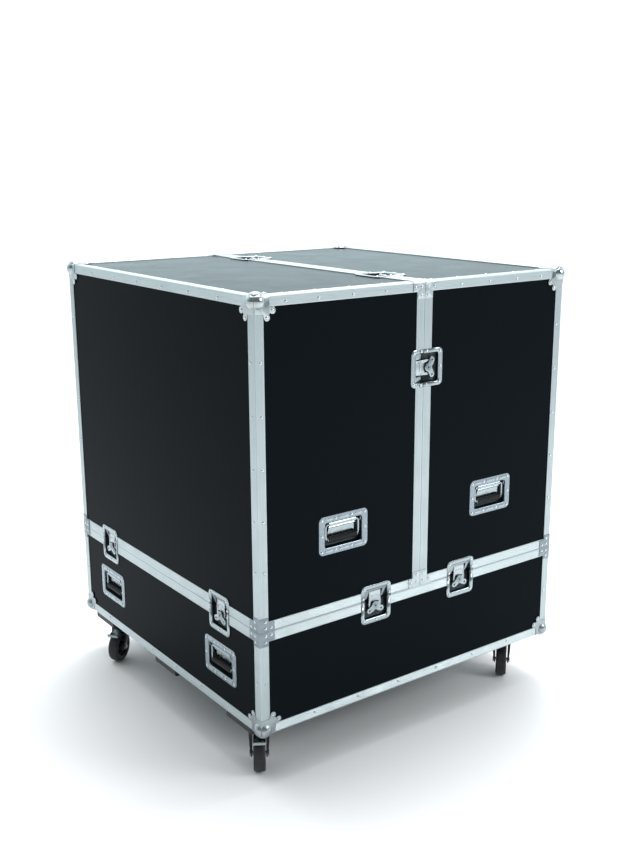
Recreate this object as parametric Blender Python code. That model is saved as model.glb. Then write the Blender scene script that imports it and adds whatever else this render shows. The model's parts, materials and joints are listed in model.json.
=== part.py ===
"""Flight case with a split lift-off hood, on four swivel casters.

Metres, +Z up, +X to the right across the front, +Y to the back.  The origin is on the
floor, under the middle of the case.  A low base tray stands on three wooden runners and
four casters.  Two half hoods, left and right, stand on the tray's rim and meet in a
vertical seam.  Twist latches hold the hoods to the tray and to each other, and sprung
bail handles are let into the hoods' fronts and backs and into the tray's sides.
"""
import bpy
import bmesh
from math import cos, hypot, pi, radians, sin
from mathutils import Matrix, Vector

# ---- case body
BODY_W = 1.100
BODY_D = 1.085
BODY_H = 1.173
RIDE = 0.154                  # floor to the underside of the body
PARTING = RIDE + 0.2965       # joint between the tray and the hoods
HX = BODY_W / 2
HY = BODY_D / 2
TOP = RIDE + BODY_H
GAP = 0.0003                  # clearance between pieces that touch
HALF = GAP / 2                # each side's share of it at a joint line
PLY = 0.009                   # plywood panels
FLOOR_PLY = 0.012

# ---- aluminium extrusions
SKIN = 0.002                  # wall thickness
FLANGE = 0.028                # visible width of a flange
PLY_FACE = SKIN + GAP         # how far the panels' faces lie behind the body's faces
PLY_BACK = PLY_FACE + PLY
LEG = PLY_BACK + GAP          # inner leg of a rim that straddles a panel
LEG_H = 0.015
CAP = 0.002                   # web of a plain rim
GROOVE_CAP = 0.007            # web of the grooved rim
TONGUE_IN = 0.0050
TONGUE_OUT = 0.0085
TONGUE_H = 0.004
TONGUE_PLAY = 0.0004

# ---- corner hardware
BALL_R = 0.0245
BALL_IN = 0.014               # ball centre, behind each of its three faces
PLATE = 0.0012                # pressed plates stand this proud of the flanges
EAR_FAR = 0.0545              # rivet lobes, along one edge from the corner
EAR_NEAR = 0.0375
EAR_R = 0.009
BRACE_W = 0.047
BRACE_H = 0.040
BRACE_ARM = 0.0275
T_ARM = 0.042

# ---- twist latches; their own axes are a across, b away from the keeper, c outwards
LATCH_W = 0.106
LATCH_FAR = 0.0685            # dish edge on the butterfly's side of the joint line
LATCH_NEAR = 0.0455           # dish edge on the keeper's side
LATCH_CORNER = 0.014
POCKET_W = 0.081
POCKET_FAR = 0.054
POCKET_NEAR = 0.032
POCKET_FLOOR = 0.0125
SHEET = 0.0015                # pressed steel
RIM_PROUD = 0.0015            # the dish's rim stands proud of the extrusions
KEEPER_B = (-0.0200, -0.0160)
KEEPER_HALF_W = 0.020
KEEPER_TOP = 0.0090
ROTOR_B = 0.020               # pivot of the butterfly
ROTOR_R = 0.011
WING_C = (-0.0037, -0.0012)
WING_EAR = (0.020, 0.013)
WING_EAR_R = 0.008
WING_HUB_R = 0.012
HOOK_C = (-0.0078, -0.0060)
HOOK_HALF_W = 0.022
HOOK_TINE_IN = 0.014
HOOK_TINE_B = 0.034
HOOK_WEB_B = 0.008
HOOK_LIP_B = (-0.0230, -0.0212)
HOOK_LIP_DEPTH = 0.0115
BAND_LATCH_X = 0.161
BAND_LATCH_Y = 0.339
SEAM_LATCH_Z = RIDE + 0.9345
TOP_LATCH_Y = 0.340

# ---- recessed bail handles; a across, b up, c outwards
HANDLE_W = 0.164
HANDLE_H = 0.108
HANDLE_CORNER = 0.014
WELL_W = 0.126
WELL_H = 0.070
WELL_FLOOR = 0.0185
BAIL_C = -0.0090
BAIL_TOP_B = 0.027            # hinge bar
BAIL_R = 0.004
BAIL_HALF_W = 0.055
GRIP_B = -0.015
GRIP_R = 0.0085
GRIP_HALF_L = 0.048
HOOD_HANDLE_X = 0.275
HOOD_HANDLE_Z = RIDE + 0.519
TRAY_HANDLE_Y = 0.337
TRAY_HANDLE_Z = RIDE + 0.142

# ---- runners and casters
RUNNER_T = 0.022
RUNNER_W = 0.125
RUNNER_HALF_L = 0.547
RUNNER_Y = 0.421
RUNNER_CHAMFER = 0.012
TOP_PLATE_X = 0.105
TOP_PLATE_Y = 0.085
TOP_PLATE_T = 0.0027
CASTER_X = 0.480
WHEEL_R = 0.050
WHEEL_W = 0.034
WHEEL_SIDES = 32
TRAIL = 0.040
BORE_R = 0.0066
AXLE_R = 0.0062
HEAD_R = 0.0085
LEG_Y = (0.0195, 0.0225)      # a fork leg's inner and outer face
BEARING_R = 0.030
BEARING_H = 0.012
CROWN_T = 0.004
PEDAL_PIN = (0.026, -0.026)   # in the fork's own frame, along the trail and up
PEDAL_PIN_R = 0.003
PEDAL_HALF_W = 0.013

ALUMINIUM = ("aluminium", (0.72, 0.75, 0.76, 1.0), 1.0, 0.38)
PLYWOOD = ("laminated_plywood", (0.012, 0.014, 0.017, 1.0), 0.0, 0.42)
ZINC = ("zinc_plated_steel", (0.62, 0.65, 0.67, 1.0), 1.0, 0.30)
RUBBER = ("black_rubber", (0.015, 0.015, 0.016, 1.0), 0.0, 0.60)
BLACK_STEEL = ("black_coated_steel", (0.020, 0.020, 0.022, 1.0), 0.3, 0.45)
TYRE = ("black_polyurethane", (0.025, 0.025, 0.027, 1.0), 0.0, 0.50)
BOARD = ("black_painted_wood", (0.018, 0.018, 0.019, 1.0), 0.0, 0.65)

X = Vector((1, 0, 0))
Y = Vector((0, 1, 0))
Z = Vector((0, 0, 1))


# ---- meshes
def mesh_from(verts, faces):
    """A closed mesh with its faces pointing out."""
    form = bmesh.new()
    points = [form.verts.new(v) for v in verts]
    for face in faces:
        form.faces.new([points[i] for i in face])
    bmesh.ops.recalc_face_normals(form, faces=form.faces)
    mesh = bpy.data.meshes.new("form")
    form.to_mesh(mesh)
    form.free()
    return mesh


def sweep(profile, stations, closed=False):
    """A profile of (u, w) points carried through stations, each a function of u and w."""
    n = len(profile)
    count = len(stations)
    verts = [station(u, w) for station in stations for u, w in profile]
    faces = []
    for i in range(count if closed else count - 1):
        j = (i + 1) % count
        for k in range(n):
            m = (k + 1) % n
            faces.append((i * n + k, i * n + m, j * n + m, j * n + k))
    if not closed:
        faces.append(tuple(range(n)))
        faces.append(tuple((count - 1) * n + k for k in range(n)))
    return mesh_from(verts, faces)


def prism(outline, lo, hi, origin=Vector((0, 0, 0)), a=X, b=Y, c=Z):
    """An outline in the plane of a and b, extruded along c from lo to hi."""
    def level(h):
        return lambda p, q: origin + a * p + b * q + c * h
    return sweep(outline, [level(lo), level(hi)])


def block(a, b, c, frame=None):
    """A box between the limits (lo, hi) on each axis, in the given frame."""
    frame = frame or Matrix.Identity(4)
    corners = [frame @ Vector((p, q, r)) for r in c for p, q in
               ((a[0], b[0]), (a[1], b[0]), (a[1], b[1]), (a[0], b[1]))]
    sides = [(k, (k + 1) % 4, (k + 1) % 4 + 4, k + 4) for k in range(4)]
    return mesh_from(corners, [(0, 1, 2, 3), (4, 5, 6, 7)] + sides)


def framed(outline, lo, hi, frame):
    """An extruded outline in the first two axes of a frame."""
    axes = [frame.col[i].to_3d() for i in range(3)]
    return prism(outline, lo, hi, frame.translation, *axes)


def arc(centre, radius, start, end, steps):
    """Points on an arc, angles in degrees."""
    angles = [radians(start + (end - start) * i / steps) for i in range(steps + 1)]
    return [(centre[0] + radius * cos(t), centre[1] + radius * sin(t)) for t in angles]


def rounded(a, b, radius, corners=(True, True, True, True), steps=3):
    """A rectangle with its chosen corners rounded, from the low corner anticlockwise."""
    centres = [(a[0] + radius, b[0] + radius), (a[1] - radius, b[0] + radius),
               (a[1] - radius, b[1] - radius), (a[0] + radius, b[1] - radius)]
    sharp = [(a[0], b[0]), (a[1], b[0]), (a[1], b[1]), (a[0], b[1])]
    points = []
    for k, centre in enumerate(centres):
        if corners[k]:
            points += arc(centre, radius, 180 + 90 * k, 270 + 90 * k, steps)
        else:
            points.append(sharp[k])
    return points


def rod(centre, radius, lo, hi, axis, sides=12):
    """A cylinder along an axis through a point, with a flat side down."""
    up = Z if abs(axis.z) < 0.5 else X
    side = axis.cross(up)
    half = pi / sides
    ring = [(radius * sin(half + 2 * pi * k / sides), radius * cos(half + 2 * pi * k / sides))
            for k in range(sides)]
    return prism(ring, lo, hi, centre, side, up, axis)


def solid(adds, cuts=()):
    """One closed mesh: the union of adds, less everything in cuts."""
    scene = bpy.context.scene
    body = bpy.data.objects.new("work", adds[0])
    scene.collection.objects.link(body)
    helpers = []
    groups = []
    for operation, meshes in (("UNION", adds[1:]), ("DIFFERENCE", cuts)):
        if not meshes:
            continue
        group = bpy.data.collections.new(operation.lower())
        scene.collection.children.link(group)
        groups.append(group)
        for mesh in meshes:
            helper = bpy.data.objects.new("helper", mesh)
            helper.display_type = "WIRE"
            helper.hide_render = True
            group.objects.link(helper)
            helpers.append(helper)
        step = body.modifiers.new(operation.lower(), "BOOLEAN")
        step.operation = operation
        step.operand_type = "COLLECTION"
        step.collection = group
        step.solver = "EXACT"
    graph = bpy.context.evaluated_depsgraph_get()
    mesh = bpy.data.meshes.new_from_object(body.evaluated_get(graph))
    for helper in helpers + [body]:
        bpy.data.objects.remove(helper)
    for group in groups:
        bpy.data.collections.remove(group)
    return mesh


def material(finish):
    """A Principled material for one finish, made once."""
    name, colour, metallic, roughness = finish
    if name in bpy.data.materials:
        return bpy.data.materials[name]
    made = bpy.data.materials.new(name)
    made.use_nodes = True
    shader = made.node_tree.nodes["Principled BSDF"]
    shader.inputs["Base Color"].default_value = colour
    shader.inputs["Metallic"].default_value = metallic
    shader.inputs["Roughness"].default_value = roughness
    made.diffuse_color = colour
    return made


def place(name, mesh, finish, frame=None, smooth=False):
    """A named object for one sub-part."""
    if smooth:
        mesh.shade_smooth()
        mesh.set_sharp_from_angle(angle=radians(35))
    mesh.materials.clear()
    mesh.materials.append(material(finish))
    piece = bpy.data.objects.new(name, mesh)
    if frame is not None:
        piece.matrix_world = frame
    bpy.context.scene.collection.objects.link(piece)
    return piece


def frame_at(origin, b, n):
    """A frame with its third axis n outwards, its second b, its first across."""
    a = b.cross(n)
    return Matrix.Translation(origin) @ Matrix((a, b, n)).transposed().to_4x4()


# ---- where the hardware goes: name, origin, b axis, outward normal, body that carries it
def band_latches():
    spots = []
    for side, sx in (("left", -1), ("right", 1)):
        for end, sy in (("front", -1), ("back", 1)):
            spots.append((f"{end}_{side}", Vector((sx * BAND_LATCH_X, sy * HY, PARTING)), -Z, Y * sy, side))
            spots.append((f"{side}_{end}", Vector((sx * HX, sy * BAND_LATCH_Y, PARTING)), -Z, X * sx, side))
    return spots


def seam_latches():
    spots = [(f"seam_{end}", Vector((0, sy * HY, SEAM_LATCH_Z)), X, Y * sy)
             for end, sy in (("front", -1), ("back", 1))]
    spots += [(f"top_{end}", Vector((0, sy * TOP_LATCH_Y, TOP)), X, Z)
              for end, sy in (("front", -1), ("back", 1))]
    return spots


def hood_handles(side, sx):
    return [(f"{side}_hood_{end}", Vector((sx * HOOD_HANDLE_X, sy * HY, HOOD_HANDLE_Z)), Z, Y * sy)
            for end, sy in (("front", -1), ("back", 1))]


def tray_handles():
    return [(f"tray_{side}_{end}", Vector((sx * HX, sy * TRAY_HANDLE_Y, TRAY_HANDLE_Z)), Z, X * sx)
            for side, sx in (("left", -1), ("right", 1)) for end, sy in (("front", -1), ("back", 1))]


# ---- cut-outs
def latch_opening(spot):
    """The hole in the panels for both halves of a latch dish."""
    half = POCKET_W / 2 + SHEET + GAP
    return block((-half, half), (-POCKET_NEAR - SHEET - GAP, POCKET_FAR + SHEET + GAP),
                 (-0.030, 0.010), frame_at(*spot[1:4]))


def latch_pocket(spot):
    return block((-POCKET_W / 2, POCKET_W / 2), (-POCKET_NEAR, POCKET_FAR), (-POCKET_FLOOR, 0.010),
                 frame_at(*spot[1:4]))


def tongue_break(spot):
    """The tongue stops at each side of a latch dish."""
    half = POCKET_W / 2 + SHEET + GAP
    return block((-half, half), (-0.006, 0.0006), (-0.0140, 0.002), frame_at(*spot[1:4]))


def handle_opening(spot):
    half_w = WELL_W / 2 + SHEET + GAP
    half_h = WELL_H / 2 + SHEET + GAP
    return block((-half_w, half_w), (-half_h, half_h), (-0.030, 0.010), frame_at(*spot[1:4]))


# ---- pieces of the aluminium and steel frame
def tongue_profile():
    """Tray rim, w downwards from the joint line."""
    return [(0, HALF), (TONGUE_IN, HALF), (TONGUE_IN, -TONGUE_H), (TONGUE_OUT, -TONGUE_H),
            (TONGUE_OUT, HALF), (LEG + SKIN, HALF), (LEG + SKIN, LEG_H), (LEG, LEG_H),
            (LEG, HALF + CAP), (SKIN, HALF + CAP), (SKIN, FLANGE), (0, FLANGE)]


def groove_profile():
    """Hood rim, w upwards from the joint line."""
    near = TONGUE_IN - TONGUE_PLAY
    far = TONGUE_OUT + TONGUE_PLAY
    deep = TONGUE_H + TONGUE_PLAY
    web = HALF + GROOVE_CAP
    return [(0, HALF), (near, HALF), (near, deep), (far, deep), (far, HALF), (LEG + SKIN, HALF),
            (LEG + SKIN, LEG_H), (LEG, LEG_H), (LEG, web), (SKIN, web), (SKIN, FLANGE), (0, FLANGE)]


def seam_profile():
    """Seam rim, w sideways from the seam."""
    web = HALF + CAP
    return [(0, HALF), (LEG + SKIN, HALF), (LEG + SKIN, LEG_H), (LEG, LEG_H),
            (LEG, web), (SKIN, web), (SKIN, FLANGE), (0, FLANGE)]


def angle_profile():
    return [(0, 0), (FLANGE, 0), (FLANGE, SKIN), (SKIN, SKIN), (SKIN, FLANGE), (0, FLANGE)]


def around(height):
    """Stations at the four corners of the body; height turns w into a height."""
    def corner(sx, sy):
        return lambda u, w: Vector((sx * (HX - u), sy * (HY - u), height(w)))
    return [corner(-1, -1), corner(1, -1), corner(1, 1), corner(-1, 1)]


def half_way_round(sx, height):
    """Stations from the seam, round one side of the body, back to the seam."""
    def end(sy):
        return lambda u, w: Vector((sx * HALF, sy * (HY - u), height(w)))

    def corner(sy):
        return lambda u, w: Vector((sx * (HX - u), sy * (HY - u), height(w)))
    return [end(-1), corner(-1), corner(1), end(1)]


def over_the_top(sx):
    """Stations up the front, over the top and down the back, along the seam."""
    foot = PARTING + TONGUE_H + TONGUE_PLAY * 2

    def low(sy):
        return lambda u, w: Vector((sx * w, sy * (HY - u), foot))

    def high(sy):
        return lambda u, w: Vector((sx * w, sy * (HY - u), TOP - u))
    return [low(-1), high(-1), high(1), low(1)]


def post(sx, sy, low, high):
    def level(z):
        return lambda u, v: Vector((sx * (HX - u), sy * (HY - v), z))
    return sweep(angle_profile(), [level(low), level(high)])


def inner_box():
    """Everything inside the skin of the body."""
    return block((SKIN - HX, HX - SKIN), (SKIN - HY, HY - SKIN), (RIDE + SKIN, TOP - SKIN))


def ball_corner(sx, sy, z, sz):
    """A ball over one corner, hollow where the panels are, and an eared plate on each face."""
    form = bmesh.new()
    bmesh.ops.create_uvsphere(form, u_segments=20, v_segments=10, radius=BALL_R)
    middle = Vector((sx * (HX - BALL_IN), sy * (HY - BALL_IN), z - sz * BALL_IN))
    bmesh.ops.translate(form, verts=form.verts, vec=middle)
    ball = bpy.data.meshes.new("ball")
    form.to_mesh(ball)
    form.free()
    pieces = [solid([ball], [inner_box()])]
    corner = Vector((sx * HX, sy * HY, z))
    inward = (-X * sx, -Y * sy, -Z * sz)
    for k in range(3):
        a = inward[(k + 1) % 3]
        b = inward[(k + 2) % 3]
        underneath = k == 2 and sz < 0
        outline = plain_outline() if underneath else ear_outline()
        pieces.append(prism(outline, -SKIN, PLATE, corner, a, b, -inward[k]))
    return pieces


def plain_outline():
    """Plate under a bottom corner, cut short to clear the runner."""
    return [(-PLATE, -PLATE), (0.045, -PLATE), (0.046, FLANGE - 0.002),
            (FLANGE - 0.002, 0.046), (-PLATE, 0.045)]


def ear_outline():
    """Plate of a ball corner: two rivet lobes, mirrored about the diagonal."""
    half = [(-PLATE, -PLATE), (0.045, -PLATE), (0.046, FLANGE - 0.002)]
    half += arc((EAR_FAR, EAR_NEAR), EAR_R, -60, 140, 5)
    other = [(q, p) for p, q in half[:0:-1]]
    return half + other


def brace(sx, sy, up):
    """Half of a corner brace at the joint line: a plate on each of two faces."""
    outline = [(-PLATE, HALF), (BRACE_W, HALF), (BRACE_W, BRACE_ARM - 0.001),
               (BRACE_ARM, BRACE_ARM - 0.001), (BRACE_ARM, BRACE_H), (-PLATE, BRACE_H)]
    corner = Vector((sx * HX, sy * HY, PARTING))
    return [prism(outline, -SKIN / 2, PLATE, corner, -X * sx, Z * up, Y * sy),
            prism(outline, -SKIN / 2, PLATE, corner, -Y * sy, Z * up, X * sx)]


def seam_brace(sx, origin, away, normal, start):
    """Half of a tee-shaped brace at one end of the seam strip."""
    outline = [(HALF, start), (T_ARM, start), (T_ARM, BRACE_ARM), (BRACE_ARM, BRACE_ARM),
               (BRACE_ARM, BRACE_W), (HALF, BRACE_W)]
    return prism(outline, -SKIN / 2, PLATE, origin, X * sx, away, normal)


def seam_braces(sx):
    pieces = []
    for sy in (-1, 1):
        front = Vector((0, sy * HY, 0))
        pieces.append(seam_brace(sx, front + Z * TOP, -Z, Y * sy, -PLATE))
        pieces.append(seam_brace(sx, front + Z * PARTING, Z, Y * sy, HALF))
        pieces.append(seam_brace(sx, front + Z * TOP, -Y * sy, Z, -PLATE))
    return pieces


def dish_half(spot, butterfly_side):
    """One half of a latch dish: its rim and the block that the pocket is cut from."""
    frame = frame_at(*spot[1:4])
    half = LATCH_W / 2
    well = POCKET_W / 2 + SHEET
    if butterfly_side:
        rim = rounded((-half, half), (HALF, LATCH_FAR), LATCH_CORNER, (False, False, True, True))
        deep = (HALF, POCKET_FAR + SHEET)
    else:
        rim = rounded((-half, half), (-LATCH_NEAR, -HALF), LATCH_CORNER, (True, True, False, False))
        deep = (-POCKET_NEAR - SHEET, -HALF)
    return [framed(rim, -SHEET, RIM_PROUD, frame),
            block((-well, well), deep, (-POCKET_FLOOR - SKIN, RIM_PROUD / 2), frame)]


def keeper_bar(spot):
    return block((-KEEPER_HALF_W, KEEPER_HALF_W), KEEPER_B, (-POCKET_FLOOR - SKIN / 2, -KEEPER_TOP),
                 frame_at(*spot[1:4]))


# ---- the tray
def tray_floor():
    inset = LEG
    plate = block((inset - HX, HX - inset), (inset - HY, HY - inset),
                  (RIDE + PLY_FACE, RIDE + PLY_FACE + FLOOR_PLY))
    place("tray_floor", plate, PLYWOOD)


def tray_walls():
    profile = [(PLY_FACE, PLY_FACE), (PLY_BACK, PLY_FACE),
               (PLY_BACK, PARTING - RIDE - HALF - CAP - GAP), (PLY_FACE, PARTING - RIDE - HALF - CAP - GAP)]
    ring = sweep(profile, around(lambda w: RIDE + w), closed=True)
    cuts = [latch_opening(spot) for spot in band_latches()]
    cuts += [handle_opening(spot) for spot in tray_handles()]
    place("tray_walls", solid([ring], cuts), PLYWOOD)


def tray_frame():
    parts = [sweep(tongue_profile(), around(lambda w: PARTING - w), closed=True),
             sweep(angle_profile(), around(lambda w: RIDE + w), closed=True)]
    for sx in (-1, 1):
        for sy in (-1, 1):
            parts.append(post(sx, sy, RIDE, PARTING - HALF))
            parts += ball_corner(sx, sy, RIDE, -1)
            parts += brace(sx, sy, -1)
    spots = band_latches()
    for spot in spots:
        parts += dish_half(spot, True)
    cuts = [latch_pocket(spot) for spot in spots] + [tongue_break(spot) for spot in spots]
    place("tray_frame", solid(parts, cuts), ALUMINIUM)


# ---- the hoods
def hood_shell(side, sx):
    """Plywood side, front, back and top of one half hood."""
    low = PARTING + HALF + GROOVE_CAP + GAP
    edge = HALF + CAP + GAP
    across = sorted((sx * edge, sx * (HX - PLY_FACE)))
    hollow = sorted((-sx * 0.01, sx * (HX - PLY_BACK)))
    outer = block(across, (PLY_FACE - HY, HY - PLY_FACE), (low, TOP - PLY_FACE))
    cuts = [block(hollow, (PLY_BACK - HY, HY - PLY_BACK), (low - 0.01, TOP - PLY_BACK))]
    cuts += [latch_opening(spot) for spot in band_latches() if spot[4] == side]
    cuts += [latch_opening(spot) for spot in seam_latches()]
    cuts += [handle_opening(spot) for spot in hood_handles(side, sx)]
    place(f"{side}_hood_shell", solid([outer], cuts), PLYWOOD)


def hood_frame(side, sx):
    """Edges, rims, corners, braces and latch dishes of one half hood."""
    parts = [sweep(groove_profile(), half_way_round(sx, lambda w: PARTING + w)),
             sweep(angle_profile(), half_way_round(sx, lambda w: TOP - w)),
             sweep(seam_profile(), over_the_top(sx))]
    for sy in (-1, 1):
        parts.append(post(sx, sy, PARTING + HALF, TOP))
        parts += ball_corner(sx, sy, TOP, 1)
        parts += brace(sx, sy, 1)
    parts += seam_braces(sx)
    band = [spot for spot in band_latches() if spot[4] == side]
    for spot in band:
        parts += dish_half(spot, False)
    for spot in seam_latches():
        parts += dish_half(spot, sx > 0)
    cuts = [latch_pocket(spot) for spot in band + seam_latches()]
    body = solid(parts, cuts)
    bars = [keeper_bar(spot) for spot in band]
    if sx < 0:
        bars += [keeper_bar(spot) for spot in seam_latches()]
    place(f"{side}_hood_frame", solid([body] + bars), ALUMINIUM)


# ---- latches
def butterfly_mesh():
    """Wing and rotor of a twist latch, about the rotor's axis."""
    ear = arc(WING_EAR, WING_EAR_R, -50, 110, 5)
    left = [(-p, q) for p, q in reversed(ear)]
    wing = ear + [(0, WING_EAR[1])] + left + arc((0, 0), WING_HUB_R, 200, 340, 6)
    rotor = rod(Vector((0, 0, 0)), ROTOR_R, GAP - POCKET_FLOOR, WING_C[0] + 0.001, Z, 16)
    return solid([prism(wing, *WING_C), rotor])


def hook_mesh():
    """Draw plate with two tines beside the rotor and a lip behind the keeper bar."""
    plate = [(-HOOK_HALF_W, HOOK_LIP_B[0]), (HOOK_HALF_W, HOOK_LIP_B[0]), (HOOK_HALF_W, HOOK_TINE_B),
             (HOOK_TINE_IN, HOOK_TINE_B), (HOOK_TINE_IN, HOOK_WEB_B), (-HOOK_TINE_IN, HOOK_WEB_B),
             (-HOOK_TINE_IN, HOOK_TINE_B), (-HOOK_HALF_W, HOOK_TINE_B)]
    lip = block((-KEEPER_HALF_W, KEEPER_HALF_W), HOOK_LIP_B, (-HOOK_LIP_DEPTH, HOOK_C[0] + 0.0009))
    return solid([prism(plate, *HOOK_C), lip])


def latches():
    butterfly = butterfly_mesh()
    hook = hook_mesh()
    for spot in band_latches() + seam_latches():
        frame = frame_at(*spot[1:4])
        pivot = frame @ Matrix.Translation((0, ROTOR_B, 0))
        place(f"{spot[0]}_latch_butterfly", butterfly, ZINC, pivot, smooth=True)
        place(f"{spot[0]}_latch_hook", hook, ZINC, frame)


# ---- handles
def handle_dish_mesh():
    rim = rounded((-HANDLE_W / 2, HANDLE_W / 2), (-HANDLE_H / 2, HANDLE_H / 2), HANDLE_CORNER)
    half_w = WELL_W / 2 + SHEET
    half_h = WELL_H / 2 + SHEET
    well = block((-half_w, half_w), (-half_h, half_h), (-WELL_FLOOR - SHEET, -SHEET))
    hollow = block((SHEET - half_w, half_w - SHEET), (SHEET - half_h, half_h - SHEET), (-WELL_FLOOR, 0.01))
    return solid([prism(rim, -SKIN, -SKIN + SHEET), well], [hollow])


def bail_mesh():
    """Wire bail and rubber grip, about the hinge bar."""
    drop = GRIP_B - BAIL_TOP_B
    origin = Vector((0, 0, 0))
    bar = rod(origin, BAIL_R, -BAIL_HALF_W - BAIL_R, BAIL_HALF_W + BAIL_R, X, 8)
    grip = rod(Vector((0, drop, 0)), GRIP_R, -GRIP_HALF_L, GRIP_HALF_L, X, 12)
    foot = rod(Vector((0, drop, 0)), BAIL_R, -BAIL_HALF_W - BAIL_R, BAIL_HALF_W + BAIL_R, X, 8)
    arms = [rod(Vector((s * BAIL_HALF_W, 0, 0)), BAIL_R * 0.85, drop, 0, Y, 8) for s in (-1, 1)]
    return solid([bar, grip, foot] + arms)


def handles():
    dish = handle_dish_mesh()
    bail = bail_mesh()
    for spot in hood_handles("left", -1) + hood_handles("right", 1) + tray_handles():
        frame = frame_at(*spot[1:4])
        hinge = frame @ Matrix.Translation((0, BAIL_TOP_B, BAIL_C))
        place(f"{spot[0]}_handle_dish", dish, ZINC, frame)
        place(f"{spot[0]}_handle_bail", bail, RUBBER, hinge, smooth=True)


# ---- runners and casters
def runner(name, y, plates):
    """A board under the tray, with the casters' top plates on the outer two."""
    low = RIDE - GAP - RUNNER_T
    high = RIDE - GAP
    length = RUNNER_HALF_L
    outline = [(-length, high), (length, high), (length, low + RUNNER_CHAMFER),
               (length - RUNNER_CHAMFER, low), (RUNNER_CHAMFER - length, low), (-length, low + RUNNER_CHAMFER)]
    pieces = [prism(outline, -RUNNER_W / 2, RUNNER_W / 2, Vector((0, y, 0)), X, Z, -Y)]
    if plates:
        for sx in (-1, 1):
            centre = Matrix.Translation((sx * CASTER_X, y, low))
            pieces.append(block((-TOP_PLATE_X / 2, TOP_PLATE_X / 2), (-TOP_PLATE_Y / 2, TOP_PLATE_Y / 2),
                                (-TOP_PLATE_T, 0.001), centre))
    place(name, solid(pieces), BOARD)


def runners():
    runner("front_runner", -RUNNER_Y, True)
    runner("middle_runner", 0.0, False)
    runner("back_runner", RUNNER_Y, True)


def swivel_height():
    return RIDE - GAP - RUNNER_T - TOP_PLATE_T - GAP


def fork_mesh(drop):
    """Swivel head, crown, two legs and axle; the trail runs along +X."""
    head = rod(Vector((0, 0, 0)), BEARING_R, -BEARING_H, 0, Z, 20)
    crown_low = -BEARING_H - CROWN_T
    crown = block((-0.026, 0.034), (-LEG_Y[1], LEG_Y[1]), (crown_low, 0.001 - BEARING_H))
    leg = [(-0.024, crown_low + 0.001), (0.034, crown_low + 0.001)]
    leg += arc((TRAIL, -drop), 0.012, 20, -200, 6)
    legs = [prism(leg, y - 0.0015, y + 0.0015, Vector((0, 0, 0)), X, Z, -Y)
            for y in (-sum(LEG_Y) / 2, sum(LEG_Y) / 2)]
    axle_at = Vector((TRAIL, 0, -drop))
    axle = rod(axle_at, AXLE_R, -LEG_Y[1], LEG_Y[1], Y, 12)
    caps = [rod(axle_at, HEAD_R, *sorted((s * (LEG_Y[1] - 0.0005), s * (LEG_Y[1] + 0.005))), Y, 6)
            for s in (-1, 1)]
    return solid([head, crown, axle] + legs + caps)


def wheel_mesh():
    """Tyre and hub, turning about Y, with a flat facet at the bottom."""
    half = WHEEL_W / 2
    profile = [(BORE_R, -half), (BORE_R + 0.010, -half), (0.036, -half + 0.005), (0.044, -half),
               (WHEEL_R - 0.003, -half + 0.001), (WHEEL_R, -half + 0.006),
               (WHEEL_R, half - 0.006), (WHEEL_R - 0.003, half - 0.001), (0.044, half),
               (0.036, half - 0.005), (BORE_R + 0.010, half), (BORE_R, half)]

    def spoke(k):
        turn = 2 * pi * (k + 0.5) / WHEEL_SIDES
        return lambda r, y: Vector((r * sin(turn), y, -r * cos(turn)))
    return sweep(profile, [spoke(k) for k in range(WHEEL_SIDES)], closed=True)


def pedal_mesh():
    """Brake pedal about its pin; the tread reaches out over the wheel's trailing side."""
    tread = [(-0.004, 0.004), (0.028, 0.001), (0.050, -0.007), (0.064, -0.007), (0.064, -0.004),
             (0.051, -0.003), (0.029, 0.005), (-0.004, 0.008)]
    plate = prism(tread, -PEDAL_HALF_W, PEDAL_HALF_W, Vector((0, 0, 0)), X, Z, -Y)
    cheek = block((-0.004, 0.004), (-PEDAL_HALF_W, PEDAL_HALF_W), (-0.003, 0.006))
    pin = rod(Vector((0, 0, 0)), PEDAL_PIN_R, GAP - LEG_Y[0], LEG_Y[0] - GAP, Y, 8)
    return solid([plate, cheek, pin])


def casters():
    """Four swivel casters as they stand at rest; the two on the left have brakes."""
    height = swivel_height()
    drop = height - WHEEL_R * cos(pi / WHEEL_SIDES)
    fork = fork_mesh(drop)
    wheel = wheel_mesh()
    pedal = pedal_mesh()
    rests = (("front_left", -1, -1, (-0.54, -0.84), True), ("back_left", -1, 1, (-0.80, -0.60), True),
             ("front_right", 1, -1, (-0.73, -0.68), False), ("back_right", 1, 1, (-0.70, -0.71), False))
    for name, sx, sy, (tx, ty), braked in rests:
        size = hypot(tx, ty)
        turn = Matrix(((tx / size, -ty / size, 0), (ty / size, tx / size, 0), (0, 0, 1))).to_4x4()
        frame = Matrix.Translation((sx * CASTER_X, sy * RUNNER_Y, height)) @ turn
        place(f"{name}_caster_fork", fork, BLACK_STEEL, frame, smooth=True)
        place(f"{name}_caster_wheel", wheel, TYRE, frame @ Matrix.Translation((TRAIL, 0, -drop)), smooth=True)
        if braked:
            pin = Matrix.Translation((PEDAL_PIN[0], 0, PEDAL_PIN[1]))
            place(f"{name}_caster_pedal", pedal, ZINC, frame @ pin)


def main():
    for thing in list(bpy.data.objects):
        bpy.data.objects.remove(thing)
    tray_floor()
    tray_walls()
    tray_frame()
    for side, sx in (("left", -1), ("right", 1)):
        hood_shell(side, sx)
        hood_frame(side, sx)
    latches()
    handles()
    runners()
    casters()


main()
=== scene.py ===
# %% [markdown]
# # A flight case with a split lift-off hood
# This is a tall road case for stage equipment. A low tray stands on three wooden runners and
# four swivel casters. Two half hoods stand on the tray's rim and meet in a vertical seam.
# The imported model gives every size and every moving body. This script gives the case its
# looks: the ribbed extrusions, the pressed steel hardware, the rivets and the finishes.

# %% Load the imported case
import json
import math

import bmesh
import bpy
from mathutils import Matrix, Vector

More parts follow.
